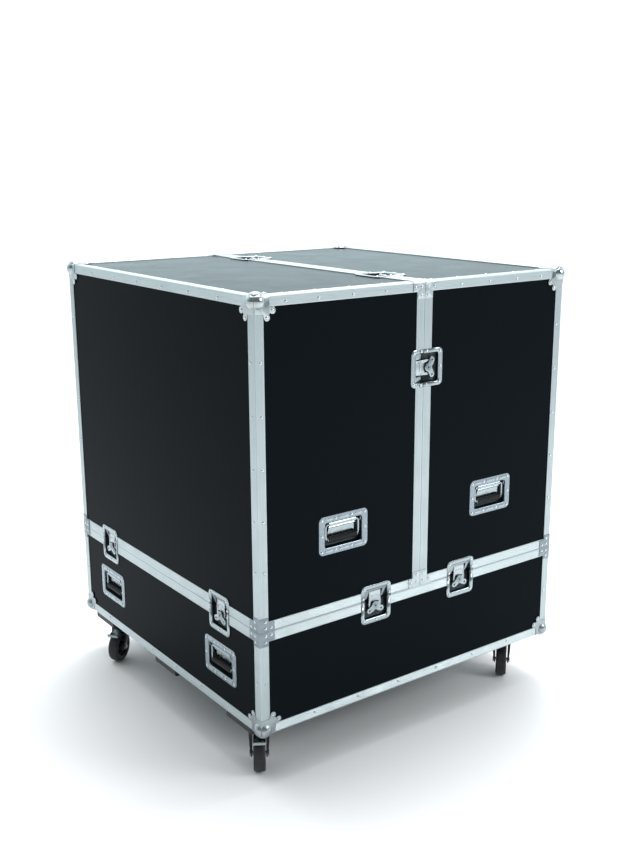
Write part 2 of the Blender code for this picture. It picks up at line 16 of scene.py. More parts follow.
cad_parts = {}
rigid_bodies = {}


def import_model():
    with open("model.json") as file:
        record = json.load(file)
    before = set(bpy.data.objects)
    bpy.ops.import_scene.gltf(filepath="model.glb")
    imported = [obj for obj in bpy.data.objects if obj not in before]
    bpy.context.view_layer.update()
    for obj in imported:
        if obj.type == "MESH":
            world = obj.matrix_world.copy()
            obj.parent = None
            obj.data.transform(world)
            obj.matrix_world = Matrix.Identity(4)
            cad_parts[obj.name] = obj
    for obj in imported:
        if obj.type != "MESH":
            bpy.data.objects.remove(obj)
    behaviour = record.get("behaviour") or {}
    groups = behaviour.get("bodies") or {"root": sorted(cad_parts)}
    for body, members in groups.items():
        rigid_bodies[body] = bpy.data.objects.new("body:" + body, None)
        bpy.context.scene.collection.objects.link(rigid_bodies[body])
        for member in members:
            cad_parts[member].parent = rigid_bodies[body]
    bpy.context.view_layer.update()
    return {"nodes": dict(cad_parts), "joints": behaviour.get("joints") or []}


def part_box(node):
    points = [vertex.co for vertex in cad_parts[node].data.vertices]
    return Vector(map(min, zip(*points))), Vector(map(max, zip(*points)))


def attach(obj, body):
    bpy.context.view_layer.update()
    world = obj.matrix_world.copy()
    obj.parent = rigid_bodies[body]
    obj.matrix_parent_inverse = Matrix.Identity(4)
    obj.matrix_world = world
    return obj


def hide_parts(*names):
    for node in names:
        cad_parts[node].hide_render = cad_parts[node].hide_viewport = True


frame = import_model()

# %% [markdown]
# ## Where everything is
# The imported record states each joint's pivot and axis. Those points lie on the case's faces,
# so the faces, the joint line between tray and hoods and the place of each latch, handle and
# caster are read from them. Nothing has to be measured twice.

# %% Read the faces of the case from its joints
X, Y, Z = Vector((1, 0, 0)), Vector((0, 1, 0)), Vector((0, 0, 1))
joints = {joint["name"]: joint for joint in frame["joints"]}


def pivot(name):
    return Vector(joints[name]["pos_m"])


ROTOR = 0.020                                       # latch pivot, from the joint line
PANEL_STEP = 0.0023                                 # panels lie this far behind the edges
SIDE_X = abs(pivot("left_front_latch_turn").x)
FACE_Y = abs(pivot("front_left_latch_turn").y)
LID_Z = pivot("top_front_latch_turn").z
JOINT_Z = pivot("front_left_latch_turn").z + ROTOR
BASE_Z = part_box("tray_walls")[0].z - PANEL_STEP
print("half width", SIDE_X, "half depth", FACE_Y, "underside", round(BASE_Z, 4),
      "joint line", round(JOINT_Z, 4), "lid", round(LID_Z, 4))

# %% [markdown]
# ## Mesh tools
# Every piece here is sheet metal, an extrusion, a turned part or a bent wire. Five small tools
# cover them: a swept profile, a stamped plate, a pressed dish, a turned solid and a wire. Each
# returns a mesh, and `joined` puts many meshes into one.


# %% Outlines
def arc(centre, radius, start, end, steps):
    """Points on an arc, angles in degrees."""
    turns = [math.radians(start + (end - start) * i / steps) for i in range(steps + 1)]
    return [(centre[0] + radius * math.cos(t), centre[1] + radius * math.sin(t)) for t in turns]


def softened(outline, radius, steps=3):
    """An outline with every corner rounded by a curve that starts radius away from it."""
    points = []
    for i, corner in enumerate(outline):
        corner = Vector(corner)
        ends = []
        for other in (outline[i - 1], outline[(i + 1) % len(outline)]):
            way = Vector(other) - corner
            ends.append(corner + way.normalized() * min(radius, way.length * 0.49))
        for k in range(steps + 1):
            t = k / steps
            points.append(ends[0] * (1 - t) ** 2 + corner * 2 * t * (1 - t) + ends[1] * t * t)
    return [(p.x, p.y) for p in points]


def rectangle(left, right, low, high):
    return [(left, low), (right, low), (right, high), (left, high)]


def rounded_rectangle(left, right, low, high, radius, steps=6):
    points = []
    for k, (x, y) in enumerate(((left + radius, low + radius), (right - radius, low + radius),
                                (right - radius, high - radius), (left + radius, high - radius))):
        points += arc((x, y), radius, 180 + 90 * k, 270 + 90 * k, steps)
    return points


def stadium(x, y, length, width, steps=6):
    half = (length - width) / 2
    return arc((x + half, y), width / 2, -90, 90, steps) + arc((x - half, y), width / 2, 90, 270, steps)


print("outline tools ready; a softened square has", len(softened(rectangle(0, 1, 0, 1), 0.1)), "points")


# %% Swept, turned and pressed forms
def deep_faces(mesh, depth):
    """Gives the faces that lie deeper than depth the mesh's second finish, the painted shade."""
    for face in mesh.polygons:
        face.material_index = int(face.center.z < -depth)
    return mesh


def written(form, name="form"):
    """The mesh that a bmesh form holds."""
    mesh = bpy.data.meshes.new(name)
    form.to_mesh(mesh)
    form.free()
    return mesh


def mesh_of(points, faces, tidy=True):
    """A mesh with doubled points merged and, where tidy, its faces pointing out."""
    form = bmesh.new()
    corners = [form.verts.new(p) for p in points]
    for face in faces:
        form.faces.new([corners[i] for i in face])
    bmesh.ops.remove_doubles(form, verts=form.verts, dist=1e-7)
    if tidy:
        bmesh.ops.recalc_face_normals(form, faces=form.faces)
    return written(form)


def ring_faces(rings, n):
    """The quads between neighbouring rings of n points each."""
    return [(i * n + k, i * n + (k + 1) % n, (i + 1) * n + (k + 1) % n, (i + 1) * n + k)
            for i in range(rings - 1) for k in range(n)]


def straight(axis, *places):
    """Stations square to an axis, 0 to 2; a profile's pair fills the other two axes in order."""
    return [lambda u, w, at=at: Vector((*(u, w)[:axis], at, *(u, w)[axis:])) for at in places]


def shift(x, y, z):
    return Matrix.Translation((x, y, z))


def sweep(profile, stations):
    """A closed profile carried through stations, each of which turns (u, w) into a point."""
    n = len(profile)
    points = [station(u, w) for station in stations for u, w in profile]
    ends = [tuple(range(n)), tuple(range(len(points) - n, len(points)))]
    return mesh_of(points, ring_faces(len(stations), n) + ends)


def turned(profile, axis="Z", sides=24):
    """A solid turned about an axis from (radius, height) pairs, from one pole to the other."""
    turn = {"Z": Matrix.Identity(3), "X": Matrix((Z, X, Y)).transposed().inverted(),
            "Y": Matrix((Z, X, Y)).transposed()}[axis]
    points = []
    for radius, height in profile:
        for k in range(sides):
            t = 2 * math.pi * k / sides
            points.append(turn @ Vector((radius * math.cos(t), radius * math.sin(t), height)))
    faces = ring_faces(len(profile), sides)
    if profile[0] != profile[-1]:
        faces += [tuple(range(sides)), tuple(range(len(points) - sides, len(points)))]
    return mesh_of(points, faces)


def pressed(outer, well, draw):
    """Sheet pressed in rings between two rounded rectangles, each (left, right, low, high,
    radius). draw lists (share of the way from the outer edge to the well, height)."""
    rings = [(rounded_rectangle(*[a + (b - a) * share for a, b in zip(outer, well)]), height)
             for share, height in draw]
    n = len(rings[0][0])
    points = [(x, y, height) for ring, height in rings for x, y in ring]
    bottom = tuple(range(len(points) - n, len(points)))
    return mesh_of(points, ring_faces(len(rings), n) + [bottom], tidy=False)


print("a pressed dish of three rings has",
      len(pressed((0, 4, 0, 4, 1), (1, 3, 1, 3, 0.5), [(0, 0), (0.5, 1), (1, 0)]).polygons), "faces")


# %% Stamped plates and bent wire
def baked(curve):
    """The mesh of a curve."""
    holder = bpy.data.objects.new("holder", curve)
    mesh = bpy.data.meshes.new_from_object(holder)
    bpy.data.objects.remove(holder)
    form = bmesh.new()
    form.from_mesh(mesh)
    bmesh.ops.remove_doubles(form, verts=form.verts, dist=1e-6)
    bmesh.ops.recalc_face_normals(form, faces=form.faces)
    form.to_mesh(mesh)
    form.free()
    return mesh


def stamped(outline, thick, holes=(), edge=0.0003):
    """A flat plate from height 0 to thick, with softened edges and with holes."""
    curve = bpy.data.curves.new("stamping", "CURVE")
    curve.dimensions = "2D"
    curve.fill_mode = "BOTH"
    curve.extrude = thick / 2 - edge
    curve.bevel_depth = edge
    curve.bevel_resolution = 1
    curve.offset = -edge
    for points in (outline, *holes):
        spline = curve.splines.new("POLY")
        spline.points.add(len(points) - 1)
        spline.use_cyclic_u = True
        for point, (x, y) in zip(spline.points, points):
            point.co = (x, y, 0, 1)
    mesh = baked(curve)
    mesh.transform(shift(0, 0, thick / 2))
    return mesh


def wire(points, radius, closed=False, resolution=3):
    """A round wire bent along points."""
    curve = bpy.data.curves.new("wire", "CURVE")
    curve.dimensions = "3D"
    curve.bevel_depth = radius
    curve.bevel_resolution = resolution
    curve.use_fill_caps = True
    spline = curve.splines.new("POLY")
    spline.points.add(len(points) - 1)
    spline.use_cyclic_u = closed
    for point, place in zip(spline.points, points):
        point.co = (*place, 1)
    return baked(curve)


def moved(mesh, matrix):
    """A copy of a mesh in another place. A mirrored copy gets its faces turned back out."""
    copy = mesh.copy()
    copy.transform(matrix)
    if matrix.determinant() < 0:
        copy.flip_normals()
    return copy


def joined(meshes):
    """Many meshes in one."""
    form = bmesh.new()
    for mesh in meshes:
        form.from_mesh(mesh)
    return written(form)


def axes_at(place, a, b, c):
    """A matrix whose first three axes are a, b and c."""
    return Matrix.Translation(place) @ Matrix((a, b, c)).transposed().to_4x4()


print("a washer has", len(stamped(stadium(0, 0, 0.02, 0.02), 0.002, [stadium(0, 0, 0.01, 0.01)]).polygons),
      "faces")

# %% [markdown]
# ## Finishes
# Each finish is a material built from nodes. Colours are written as the hex values that a
# painter would pick on screen, and one function turns them into the linear light that the
# renderer works in. Patterns take their scale from real sizes: a pattern that repeats every
# s millimetres has a texture scale of 1000 / s.


# %% Colours, nodes and the bare material
def linear(hex_colour):
    """An sRGB hex colour as linear light."""
    parts = [int(hex_colour[i:i + 2], 16) / 255 for i in (1, 3, 5)]
    return (*[c / 12.92 if c <= 0.04045 else ((c + 0.055) / 1.055) ** 2.4 for c in parts], 1.0)


def per(millimetres):
    """Texture scale of a pattern that repeats every so many millimetres."""
    return 1000 / millimetres


def node(tree, kind, inputs=(), **settings):
    """Adds a node. An input is a value, or another node's output to link."""
    made = tree.nodes.new(kind)
    for name, value in settings.items():
        setattr(made, name, value)
    for key, value in dict(inputs).items():
        if isinstance(value, bpy.types.NodeSocket):
            tree.links.new(value, made.inputs[key])
        else:
            made.inputs[key].default_value = value
    return made


def finish(name, colour, metallic, roughness, **more):
    """A Principled material whose constants are on the shader's own sockets."""
    made = bpy.data.materials.new(name)
    made.use_nodes = True
    shader = made.node_tree.nodes["Principled BSDF"]
    shader.inputs["Base Color"].default_value = linear(colour)
    shader.inputs["Metallic"].default_value = metallic
    shader.inputs["Roughness"].default_value = roughness
    for key, value in more.items():
        shader.inputs[key.replace("_", " ")].default_value = value
    return made, made.node_tree, shader


def own_place(tree):
    """Where a point lies on the piece itself."""
    return node(tree, "ShaderNodeTexCoord").outputs["Object"]


def two_tone(tree, pattern, low, high, start=0.0, end=1.0):
    """A pattern coloured from low at start to high at end."""
    ramp = node(tree, "ShaderNodeValToRGB", {0: pattern})
    first, last = ramp.color_ramp.elements
    first.position, last.position = start, end
    first.color, last.color = linear(low), linear(high)
    return ramp.outputs[0]


def roughen(tree, shader, pattern, seen, wanted):
    """Spreads a pattern's values, seen from low to high, over the wanted roughness."""
    spread = node(tree, "ShaderNodeMapRange", {"Value": pattern, "From Min": seen[0], "From Max": seen[1],
                                               "To Min": wanted[0], "To Max": wanted[1]})
    tree.links.new(spread.outputs[0], shader.inputs["Roughness"])


def dimple(tree, shader, pattern, strength, distance):
    """Lets a pattern stand out of the surface; distance is in metres."""
    bump = node(tree, "ShaderNodeBump", {"Height": pattern, "Strength": strength, "Distance": distance})
    tree.links.new(bump.outputs[0], shader.inputs["Normal"])


print("mid grey in linear light is", round(linear("#808080")[0], 3))

# %% [markdown]
# ### Phenolic laminate on birch plywood
# The panels are birch plywood faced outside with a thin sheet of black phenolic laminate,
# pressed hot against a fine matt plate. The plate leaves a very fine grain, so the sheet is
# near black seen square on and a soft pale mirror at a grazing angle, as on the lid. The grain
# breaks up most of the gloss, so the specular level is low, with a slight blue tint. Handling
# leaves faint cloudy smudges, a hand's width across, that show only in the gloss. The inside
# is bare birch. The shader tells inside from outside by how far a point lies behind the faces.

# %% Laminate with bare birch behind it
LAMINATE = "#0f1418"
LAMINATE_T = 0.0008                      # thickness of the laminate, in metres
BIRCH_ROUGH = 0.62
laminate, tree, shader = finish("phenolic_laminate_pressed_matt", LAMINATE, 0.0, 0.33, IOR=1.5,
                                Specular_IOR_Level=0.014, Specular_Tint=linear("#b4d2de"))
place = own_place(tree)
split = node(tree, "ShaderNodeSeparateXYZ", {0: place})
depths = []
for axis, centre, half in (("X", 0, SIDE_X), ("Y", 0, FACE_Y),
                           ("Z", (LID_Z + BASE_Z) / 2, (LID_Z - BASE_Z) / 2)):
    centred = node(tree, "ShaderNodeMath", {0: split.outputs[axis], 1: centre}, operation="SUBTRACT")
    away = node(tree, "ShaderNodeMath", {0: centred.outputs[0]}, operation="ABSOLUTE")
    depths.append(node(tree, "ShaderNodeMath", {0: away.outputs[0], 1: half}, operation="SUBTRACT"))
nearest = node(tree, "ShaderNodeMath", {0: depths[0].outputs[0], 1: depths[1].outputs[0]},
               operation="MAXIMUM")
nearest = node(tree, "ShaderNodeMath", {0: nearest.outputs[0], 1: depths[2].outputs[0]},
               operation="MAXIMUM")
faced = node(tree, "ShaderNodeMath", {0: nearest.outputs[0], 1: -PANEL_STEP - LAMINATE_T},
             operation="GREATER_THAN").outputs[0]
smudges = node(tree, "ShaderNodeTexNoise", {"Vector": place, "Scale": per(120), "Detail": 5.0,
                                            "Roughness": 0.62, "Distortion": 0.6})
gloss = node(tree, "ShaderNodeMapRange", {"Value": smudges.outputs[0], "From Min": 0.3,
                                          "From Max": 0.7, "To Min": 0.19, "To Max": 0.23})
grain_way = node(tree, "ShaderNodeMapping", {"Vector": place, "Scale": (per(3), per(3), per(70))})
grain = node(tree, "ShaderNodeTexNoise", {"Vector": grain_way.outputs[0], "Scale": 1.0, "Detail": 6.0,
                                          "Roughness": 0.6, "Distortion": 0.4})
birch = two_tone(tree, grain.outputs[0], "#b08d62", "#d9bd92")
hues = node(tree, "ShaderNodeMix", {0: faced, 6: birch, 7: linear(LAMINATE)}, data_type="RGBA")
tree.links.new(hues.outputs[2], shader.inputs["Base Color"])
dull = node(tree, "ShaderNodeMix", {0: faced, 2: BIRCH_ROUGH, 3: gloss.outputs[0]}, data_type="FLOAT")
tree.links.new(dull.outputs[0], shader.inputs["Roughness"])
press = node(tree, "ShaderNodeTexNoise", {"Vector": place, "Scale": per(1.6), "Detail": 2.0})
dimple(tree, shader, press.outputs[0], 0.05, 0.0002)
print(laminate.name, "smudges every 120 mm, press grain every 1.6 mm")

# %% [markdown]
# ### Natural anodised aluminium
# The edges are extruded: soft aluminium is pushed through a steel die, which leaves hair-fine
# lines along the whole length. Anodising keeps the colour of the metal and dulls it to satin.
# The lines run along the length, so there is one material for each direction of run. They are
# about 0.3 mm apart on the real bar; 0.7 mm is the finest that still shows in a render.


# %% Aluminium for each direction of run
def anodised_aluminium(name, lines):
    """lines is how many millimetres the die lines keep on along X, Y and Z."""
    made, tree, shader = finish(name, "#d3d9db", 1.0, 0.36)
    place = own_place(tree)
    drawn = node(tree, "ShaderNodeMapping", {"Vector": place, "Scale": [per(s) for s in lines]})
    streaks = node(tree, "ShaderNodeTexNoise", {"Vector": drawn.outputs[0], "Scale": 1.0, "Detail": 4.0,
                                                "Roughness": 0.7})
    tone = two_tone(tree, streaks.outputs[0], "#a0abae", "#bac4c6", 0.3, 0.7)
    tree.links.new(tone, shader.inputs["Base Color"])
    patches = node(tree, "ShaderNodeTexNoise", {"Vector": place, "Scale": per(60), "Detail": 3.0})
    both = node(tree, "ShaderNodeMath", {0: streaks.outputs[0], 1: patches.outputs[0]}, operation="ADD")
    roughen(tree, shader, both.outputs[0], (0.7, 1.3), (0.30, 0.46))
    dimple(tree, shader, streaks.outputs[0], 0.25, 0.0001)
    return made


aluminium = {"x": anodised_aluminium("aluminium_extruded_along_x", (400, 0.7, 0.7)),
             "y": anodised_aluminium("aluminium_extruded_along_y", (0.7, 400, 0.7)),
             "z": anodised_aluminium("aluminium_extruded_along_z", (0.7, 0.7, 400))}
print("aluminium lines run on for 400 mm and lie 0.7 mm apart")

# %% [markdown]
# ### Zinc and nickel plate
# Dishes, latches and handles are pressed from mild steel and bright zinc plated: a cool grey
# mirror that is slightly uneven where the sheet stretched. The braces get a duller, rolled
# zinc coat. The balls are polished before plating, so they are the brightest metal here. The
# lower ones meet kerbs and ramps, and are scuffed. Deep in a pocket the steel is painted dark,
# a painted shade in place of the shadow that falls there. Handle dishes
# and latch rotors are drawn deeper than the rest, which leaves their sheet more uneven.


# %% Plated steels
def plated_steel(name, colour, low, high, wave, dent):
    """Roughness wanders from low to high; the sheet undulates every wave millimetres."""
    made, tree, shader = finish(name, colour, 1.0, (low + high) / 2)
    place = own_place(tree)
    cloud = node(tree, "ShaderNodeTexNoise", {"Vector": place, "Scale": per(wave), "Detail": 4.0,
                                              "Roughness": 0.65})
    roughen(tree, shader, cloud.outputs[0], (0.35, 0.65), (low, high))
    dimple(tree, shader, cloud.outputs[0], dent, 0.0008)
    return made


zinc_dish = plated_steel("steel_pressed_bright_zinc", "#9aa5a9", 0.14, 0.30, 14, 0.35)
zinc_latch = plated_steel("steel_stamped_zinc", "#adb6ba", 0.24, 0.38, 9, 0.25)
zinc_brace = plated_steel("steel_rolled_dull_zinc", "#858f95", 0.32, 0.46, 18, 0.2)
ball_bright = plated_steel("steel_polished_nickel", "#a9b1b3", 0.10, 0.20, 10, 0.12)
ball_scuffed = plated_steel("steel_scuffed_nickel", "#98a1a5", 0.24, 0.42, 7, 0.35)
rivet_steel = plated_steel("steel_rivet_plated", "#bfc7ca", 0.16, 0.30, 5, 0.1)
# Painted shade: a dark steel for the deep faces of dishes and wells and for the keepers, in place of the
# shadow down in the pockets
painted_shade_steel = plated_steel("steel_pocket_painted_shade", "#3f474b", 0.38, 0.55, 12, 0.2)
drawn_steel = plated_steel("steel_deep_drawn_zinc", "#87929a", 0.20, 0.38, 13, 0.5)
print("eight plated steels")

# %% [markdown]
# ### Rubber, coated steel, tread, nylon and painted wood
# The grips are moulded rubber with a fine leathery mould texture. The caster forks are pressed
# steel with a baked black coat, which sets in a faint orange peel. The treads are elastic
# rubber on nylon hubs, and their running surface is dusty from floors. The runners are
# softwood boards, brushed black, and the grain still stands up through the paint.


# %% The black finishes
def mottled(name, colour, worn, roughness, size, grain, depth, stretch=(1, 1, 1), **more):
    """A dull finish whose colour drifts towards worn in patches of size millimetres, with a
    surface grain of grain millimetres; stretch draws the grain out along an axis."""
    made, tree, shader = finish(name, colour, 0.0, roughness, **more)
    place = own_place(tree)
    patches = node(tree, "ShaderNodeTexNoise", {"Vector": place, "Scale": per(size), "Detail": 5.0,
                                                "Roughness": 0.7})
    tone = two_tone(tree, patches.outputs[0], colour, worn, 0.35, 0.75)
    tree.links.new(tone, shader.inputs["Base Color"])
    roughen(tree, shader, patches.outputs[0], (0.3, 0.7), (roughness - 0.06, roughness + 0.08))
    way = node(tree, "ShaderNodeMapping", {"Vector": place, "Scale": [per(grain) / s for s in stretch]})
    skin = node(tree, "ShaderNodeTexNoise", {"Vector": way.outputs[0], "Scale": 1.0, "Detail": 3.0})
    dimple(tree, shader, skin.outputs[0], depth, 0.0004)
    return made


grip_rubber = mottled("rubber_moulded_grip", "#08090b", "#0f1012", 0.42, 9, 0.8, 0.25, IOR=1.52,
                      Specular_IOR_Level=0.2)
coated_steel = mottled("steel_pressed_black_coat", "#0c0d0f", "#16181b", 0.36, 22, 1.5, 0.15, IOR=1.5)
tread_rubber = mottled("rubber_moulded_tread", "#0f1011", "#2c2d2e", 0.58, 16, 1.2, 0.3, IOR=1.52)
hub_nylon = mottled("nylon_moulded_hub", "#111214", "#1d1e21", 0.40, 20, 1.0, 0.12, IOR=1.53)
painted_board = mottled("softwood_brushed_black", "#131416", "#26282b", 0.55, 60, 2.5, 0.5,
                        stretch=(60, 1, 1), IOR=1.5)
print("five black finishes")


# %% Making a piece
def piece(name, mesh, finishes, body, stands_for=(), at=None, sharp=32, sheet=0.0, round_off=0.0):
    """A named piece that rides on a body. at is its own frame, sheet gives thin sheet its
    thickness, and round_off softens its edges. The last two are in metres."""
    mesh.shade_smooth()
    mesh.set_sharp_from_angle(angle=math.radians(sharp))
    for material in finishes if isinstance(finishes, list) else [finishes]:
        mesh.materials.append(material)
    made = bpy.data.objects.new(name, mesh)
    bpy.context.scene.collection.objects.link(made)
    if at is not None:
        made.matrix_world = at
    if sheet:
        thicken = made.modifiers.new("sheet", "SOLIDIFY")
        thicken.thickness = sheet
        thicken.offset = -1
    if round_off:
        soften = made.modifiers.new("round_off", "BEVEL")
        soften.width = round_off
        soften.segments = 2
        soften.limit_method = "ANGLE"
        soften.angle_limit = math.radians(sharp)
        soften.harden_normals = True
    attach(made, body)
    if stands_for:
        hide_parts(*stands_for)
    return made


for name in ("tray_walls", "tray_floor", "left_hood_shell", "right_hood_shell"):
    mesh = frame["nodes"][name].data
    mesh.materials.clear()
    mesh.materials.append(laminate)
print("panels faced with", laminate.name)

# %% [markdown]
# ## Extruded edges
# A flange is 28 mm wide and ribbed with shallow grooves, so that scratches don't show. Edge
# angles wrap the outer edges. Rims straddle the panels where hoods and tray meet: the tray's
# rim has a tongue that stands in a groove of the hoods' rim. Each length is its own swept
# profile, mitred at the corners and stopped short beside each latch, as a saw would leave it.

# %% Extrusion sizes, in metres
FLANGE = 0.028
SKIN = 0.002
HALF_GAP = 0.00015                       # each side's share of a joint line
CORNER_R = 0.003                         # outer corner of an edge angle
LIP_R = 0.0012                           # rim's edge at the joint line
EDGE_R = 0.0006                          # free edge of a flange
GROOVES = (0.0070, 0.0112, 0.0154, 0.0196, 0.0238)
GROOVE_HALF = 0.0007
GROOVE_DEEP = 0.0005
LEG = 0.0116                             # inner leg of a rim, behind the panel
LEG_H = 0.015
TONGUE = (0.0050, 0.0085)
TONGUE_H = 0.004
PLAY = 0.0004
LATCH_BREAK = 0.046                      # a rim stops this far from a latch's middle


# %% Extrusion profiles
def ribbed_face(first):
    """A flange's outer face, from first to its free edge, as (depth, distance) pairs."""
    line = [(0, first)]
    for middle in GROOVES:
        line += [(0, middle - GROOVE_HALF), (GROOVE_DEEP, middle), (0, middle + GROOVE_HALF)]
    return line + [(0, FLANGE - EDGE_R), (EDGE_R * 0.3, FLANGE - EDGE_R * 0.3), (EDGE_R, FLANGE)]


def edge_angle():
    face = ribbed_face(CORNER_R)
    turn = arc((CORNER_R, CORNER_R), CORNER_R, 180, 270, 5)[1:-1]
    return face[::-1] + turn + [(w, u) for u, w in face] + [(FLANGE, SKIN), (SKIN, SKIN), (SKIN, FLANGE)]


def rim(web, joint):
    """A rim with its web's thickness and the tongue or groove at its joint line."""
    lip = [(LIP_R, HALF_GAP), (LIP_R * 0.3, HALF_GAP + LIP_R * 0.3)]
    back = [(SKIN, FLANGE), (SKIN, HALF_GAP + web), (LEG, HALF_GAP + web), (LEG, LEG_H),
            (LEG + SKIN, LEG_H), (LEG + SKIN, HALF_GAP)]
    return lip + ribbed_face(HALF_GAP + LIP_R) + back + joint


tongue = [(TONGUE[1], HALF_GAP), (TONGUE[1], -TONGUE_H), (TONGUE[0], -TONGUE_H), (TONGUE[0], HALF_GAP)]
groove = [(TONGUE[1] + PLAY, HALF_GAP), (TONGUE[1] + PLAY, TONGUE_H + PLAY),
          (TONGUE[0] - PLAY, TONGUE_H + PLAY), (TONGUE[0] - PLAY, HALF_GAP)]
TRAY_RIM, HOOD_RIM, SEAM_RIM = rim(0.002, tongue), rim(0.007, groove), rim(0.002, [])
print("the edge angle's profile has", len(edge_angle()), "points")


# %% Cutting lengths
def lengths(profile, place, along, inward, across, start, end, mitres=(True, True), breaks=()):
    """Straight lengths of extrusion from start to end, broken beside each latch."""
    def station(at, slant):
        return lambda u, w: place + along * (at + slant * u) + inward * u + across * w
    ends = [(start, 1 if mitres[0] else 0)]
    for middle in sorted(breaks):
        ends += [(middle - LATCH_BREAK, 0), (middle + LATCH_BREAK, 0)]
    ends.append((end, -1 if mitres[1] else 0))
    return [sweep(profile, [station(*ends[i]), station(*ends[i + 1])]) for i in range(0, len(ends), 2)]


def latch_spots(names, axis):
    """How far along an axis the latches of one side stand."""
    return sorted({round(pivot(f"{name}_latch_turn")[axis], 6) for name in names})


FRONT_LATCHES = latch_spots(("front_left", "front_right"), 0)
SIDE_LATCHES = latch_spots(("left_front", "left_back"), 1)
SEAM_LATCH = latch_spots(("seam_front",), 2)
LID_LATCHES = latch_spots(("top_front", "top_back"), 1)
print("latches at x", FRONT_LATCHES, "y", SIDE_LATCHES, "seam z", SEAM_LATCH, "lid y", LID_LATCHES)

# %% The tray's edges and rim
runs = {"x": [], "y": [], "z": []}
for s in (-1, 1):
    front, side = Vector((0, s * FACE_Y, 0)), Vector((s * SIDE_X, 0, 0))
    runs["x"] += lengths(edge_angle(), front + Z * BASE_Z, X, -Y * s, Z, -SIDE_X, SIDE_X)
    runs["x"] += lengths(TRAY_RIM, front + Z * JOINT_Z, X, -Y * s, -Z, -SIDE_X, SIDE_X,
                         breaks=FRONT_LATCHES)
    runs["y"] += lengths(edge_angle(), side + Z * BASE_Z, Y, -X * s, Z, -FACE_Y, FACE_Y)
    runs["y"] += lengths(TRAY_RIM, side + Z * JOINT_Z, Y, -X * s, -Z, -FACE_Y, FACE_Y,
                         breaks=SIDE_LATCHES)
    for t in (-1, 1):
        runs["z"] += lengths(edge_angle(), Vector((s * SIDE_X, t * FACE_Y, 0)), Z, -X * s, -Y * t,
                             BASE_Z + FLANGE, JOINT_Z - FLANGE, mitres=(False, False))
for way, meshes in runs.items():
    piece(f"tray_edging_{way}", joined(meshes), aluminium[way], "tray", ["tray_frame"])
print("the tray has", sum(map(len, runs.values())), "lengths of extrusion")

# %% The hoods' edges, rims and seam strips
for hood, s in (("left_hood", -1), ("right_hood", 1)):
    runs = {"x": [], "y": [], "z": []}
    half = sorted((s * HALF_GAP, s * SIDE_X))
    mitres = (s < 0, s > 0)
    side = Vector((s * SIDE_X, 0, 0))
    own = [x for x in FRONT_LATCHES if x * s > 0]
    for t in (-1, 1):
        front = Vector((0, t * FACE_Y, 0))
        runs["x"] += lengths(HOOD_RIM, front + Z * JOINT_Z, X, -Y * t, Z, *half, mitres, own)
        runs["x"] += lengths(edge_angle(), front + Z * LID_Z, X, -Y * t, -Z, *half, mitres)
        runs["z"] += lengths(SEAM_RIM, front, Z, -Y * t, X * s, JOINT_Z + FLANGE, LID_Z - FLANGE,
                             (False, False), SEAM_LATCH)
        runs["z"] += lengths(edge_angle(), side + front, Z, -X * s, -Y * t,
                             JOINT_Z + FLANGE, LID_Z - FLANGE, (False, False))
    runs["y"] += lengths(HOOD_RIM, side + Z * JOINT_Z, Y, -X * s, Z, -FACE_Y, FACE_Y, breaks=SIDE_LATCHES)
    runs["y"] += lengths(edge_angle(), side + Z * LID_Z, Y, -X * s, -Z, -FACE_Y, FACE_Y)
    runs["y"] += lengths(SEAM_RIM, Z * LID_Z, Y, -Z, X * s, FLANGE - FACE_Y, FACE_Y - FLANGE,
                         (False, False), LID_LATCHES)
    for way, meshes in runs.items():
        piece(f"{hood}_edging_{way}", joined(meshes), aluminium[way], hood,
              [f"{hood}_frame"])
    print(hood, "has", sum(map(len, runs.values())), "lengths of extrusion")

# %% [markdown]
# ## Rivets
# Everything is held with domed rivets. A rivet is a small turned solid, and all the rivets of
# one body are one mesh. Later cells add to the lists, and the rivets are made at the end.

# %% One rivet, and the lists of where rivets go
RIVET_R = 0.0044
RIVET_H = 0.0021
rivet = turned([(RIVET_R, -0.0006), (RIVET_R, 0.0002), (RIVET_R * 0.90, RIVET_H * 0.48),
                (RIVET_R * 0.68, RIVET_H * 0.80), (RIVET_R * 0.36, RIVET_H * 0.96),
                (RIVET_R * 0.05, RIVET_H)], sides=14)
rivets = {"tray": [], "left_hood": [], "right_hood": []}


def rivet_on(body, at, x, y, height=0.0):
    """A rivet at (x, y) in a frame whose third axis points out of the metal."""
    rivets[body].append(at @ shift(x, y, height))


print("a rivet is", RIVET_R * 2000, "mm across")

# %% [markdown]
# ## Ball corners
# A ball corner is one steel pressing: a ball drawn up in three petals, with a plate on each
# face that ends in two rivet lobes. The petals meet in creases where two faces are equally
# near, and the creases meet on the diagonal. A ball made from the three outer faces of a cube,
# blown up into a sphere, has its grid lines exactly along those creases.

# %% Corner sizes
BALL_R = 0.0245
BALL_IN = 0.014                          # ball's centre, behind each of its three faces
CREASE = 0.0024                          # depth of a crease between petals
CREASE_W = 0.0024                        # how fast it fades out beside the crease
PLATE = 0.0012
EAR = (0.0545, 0.0375)                   # rivet lobes, along one edge and the other
EAR_R = 0.009
REACH = 0.045                            # the plates' reach along an edge


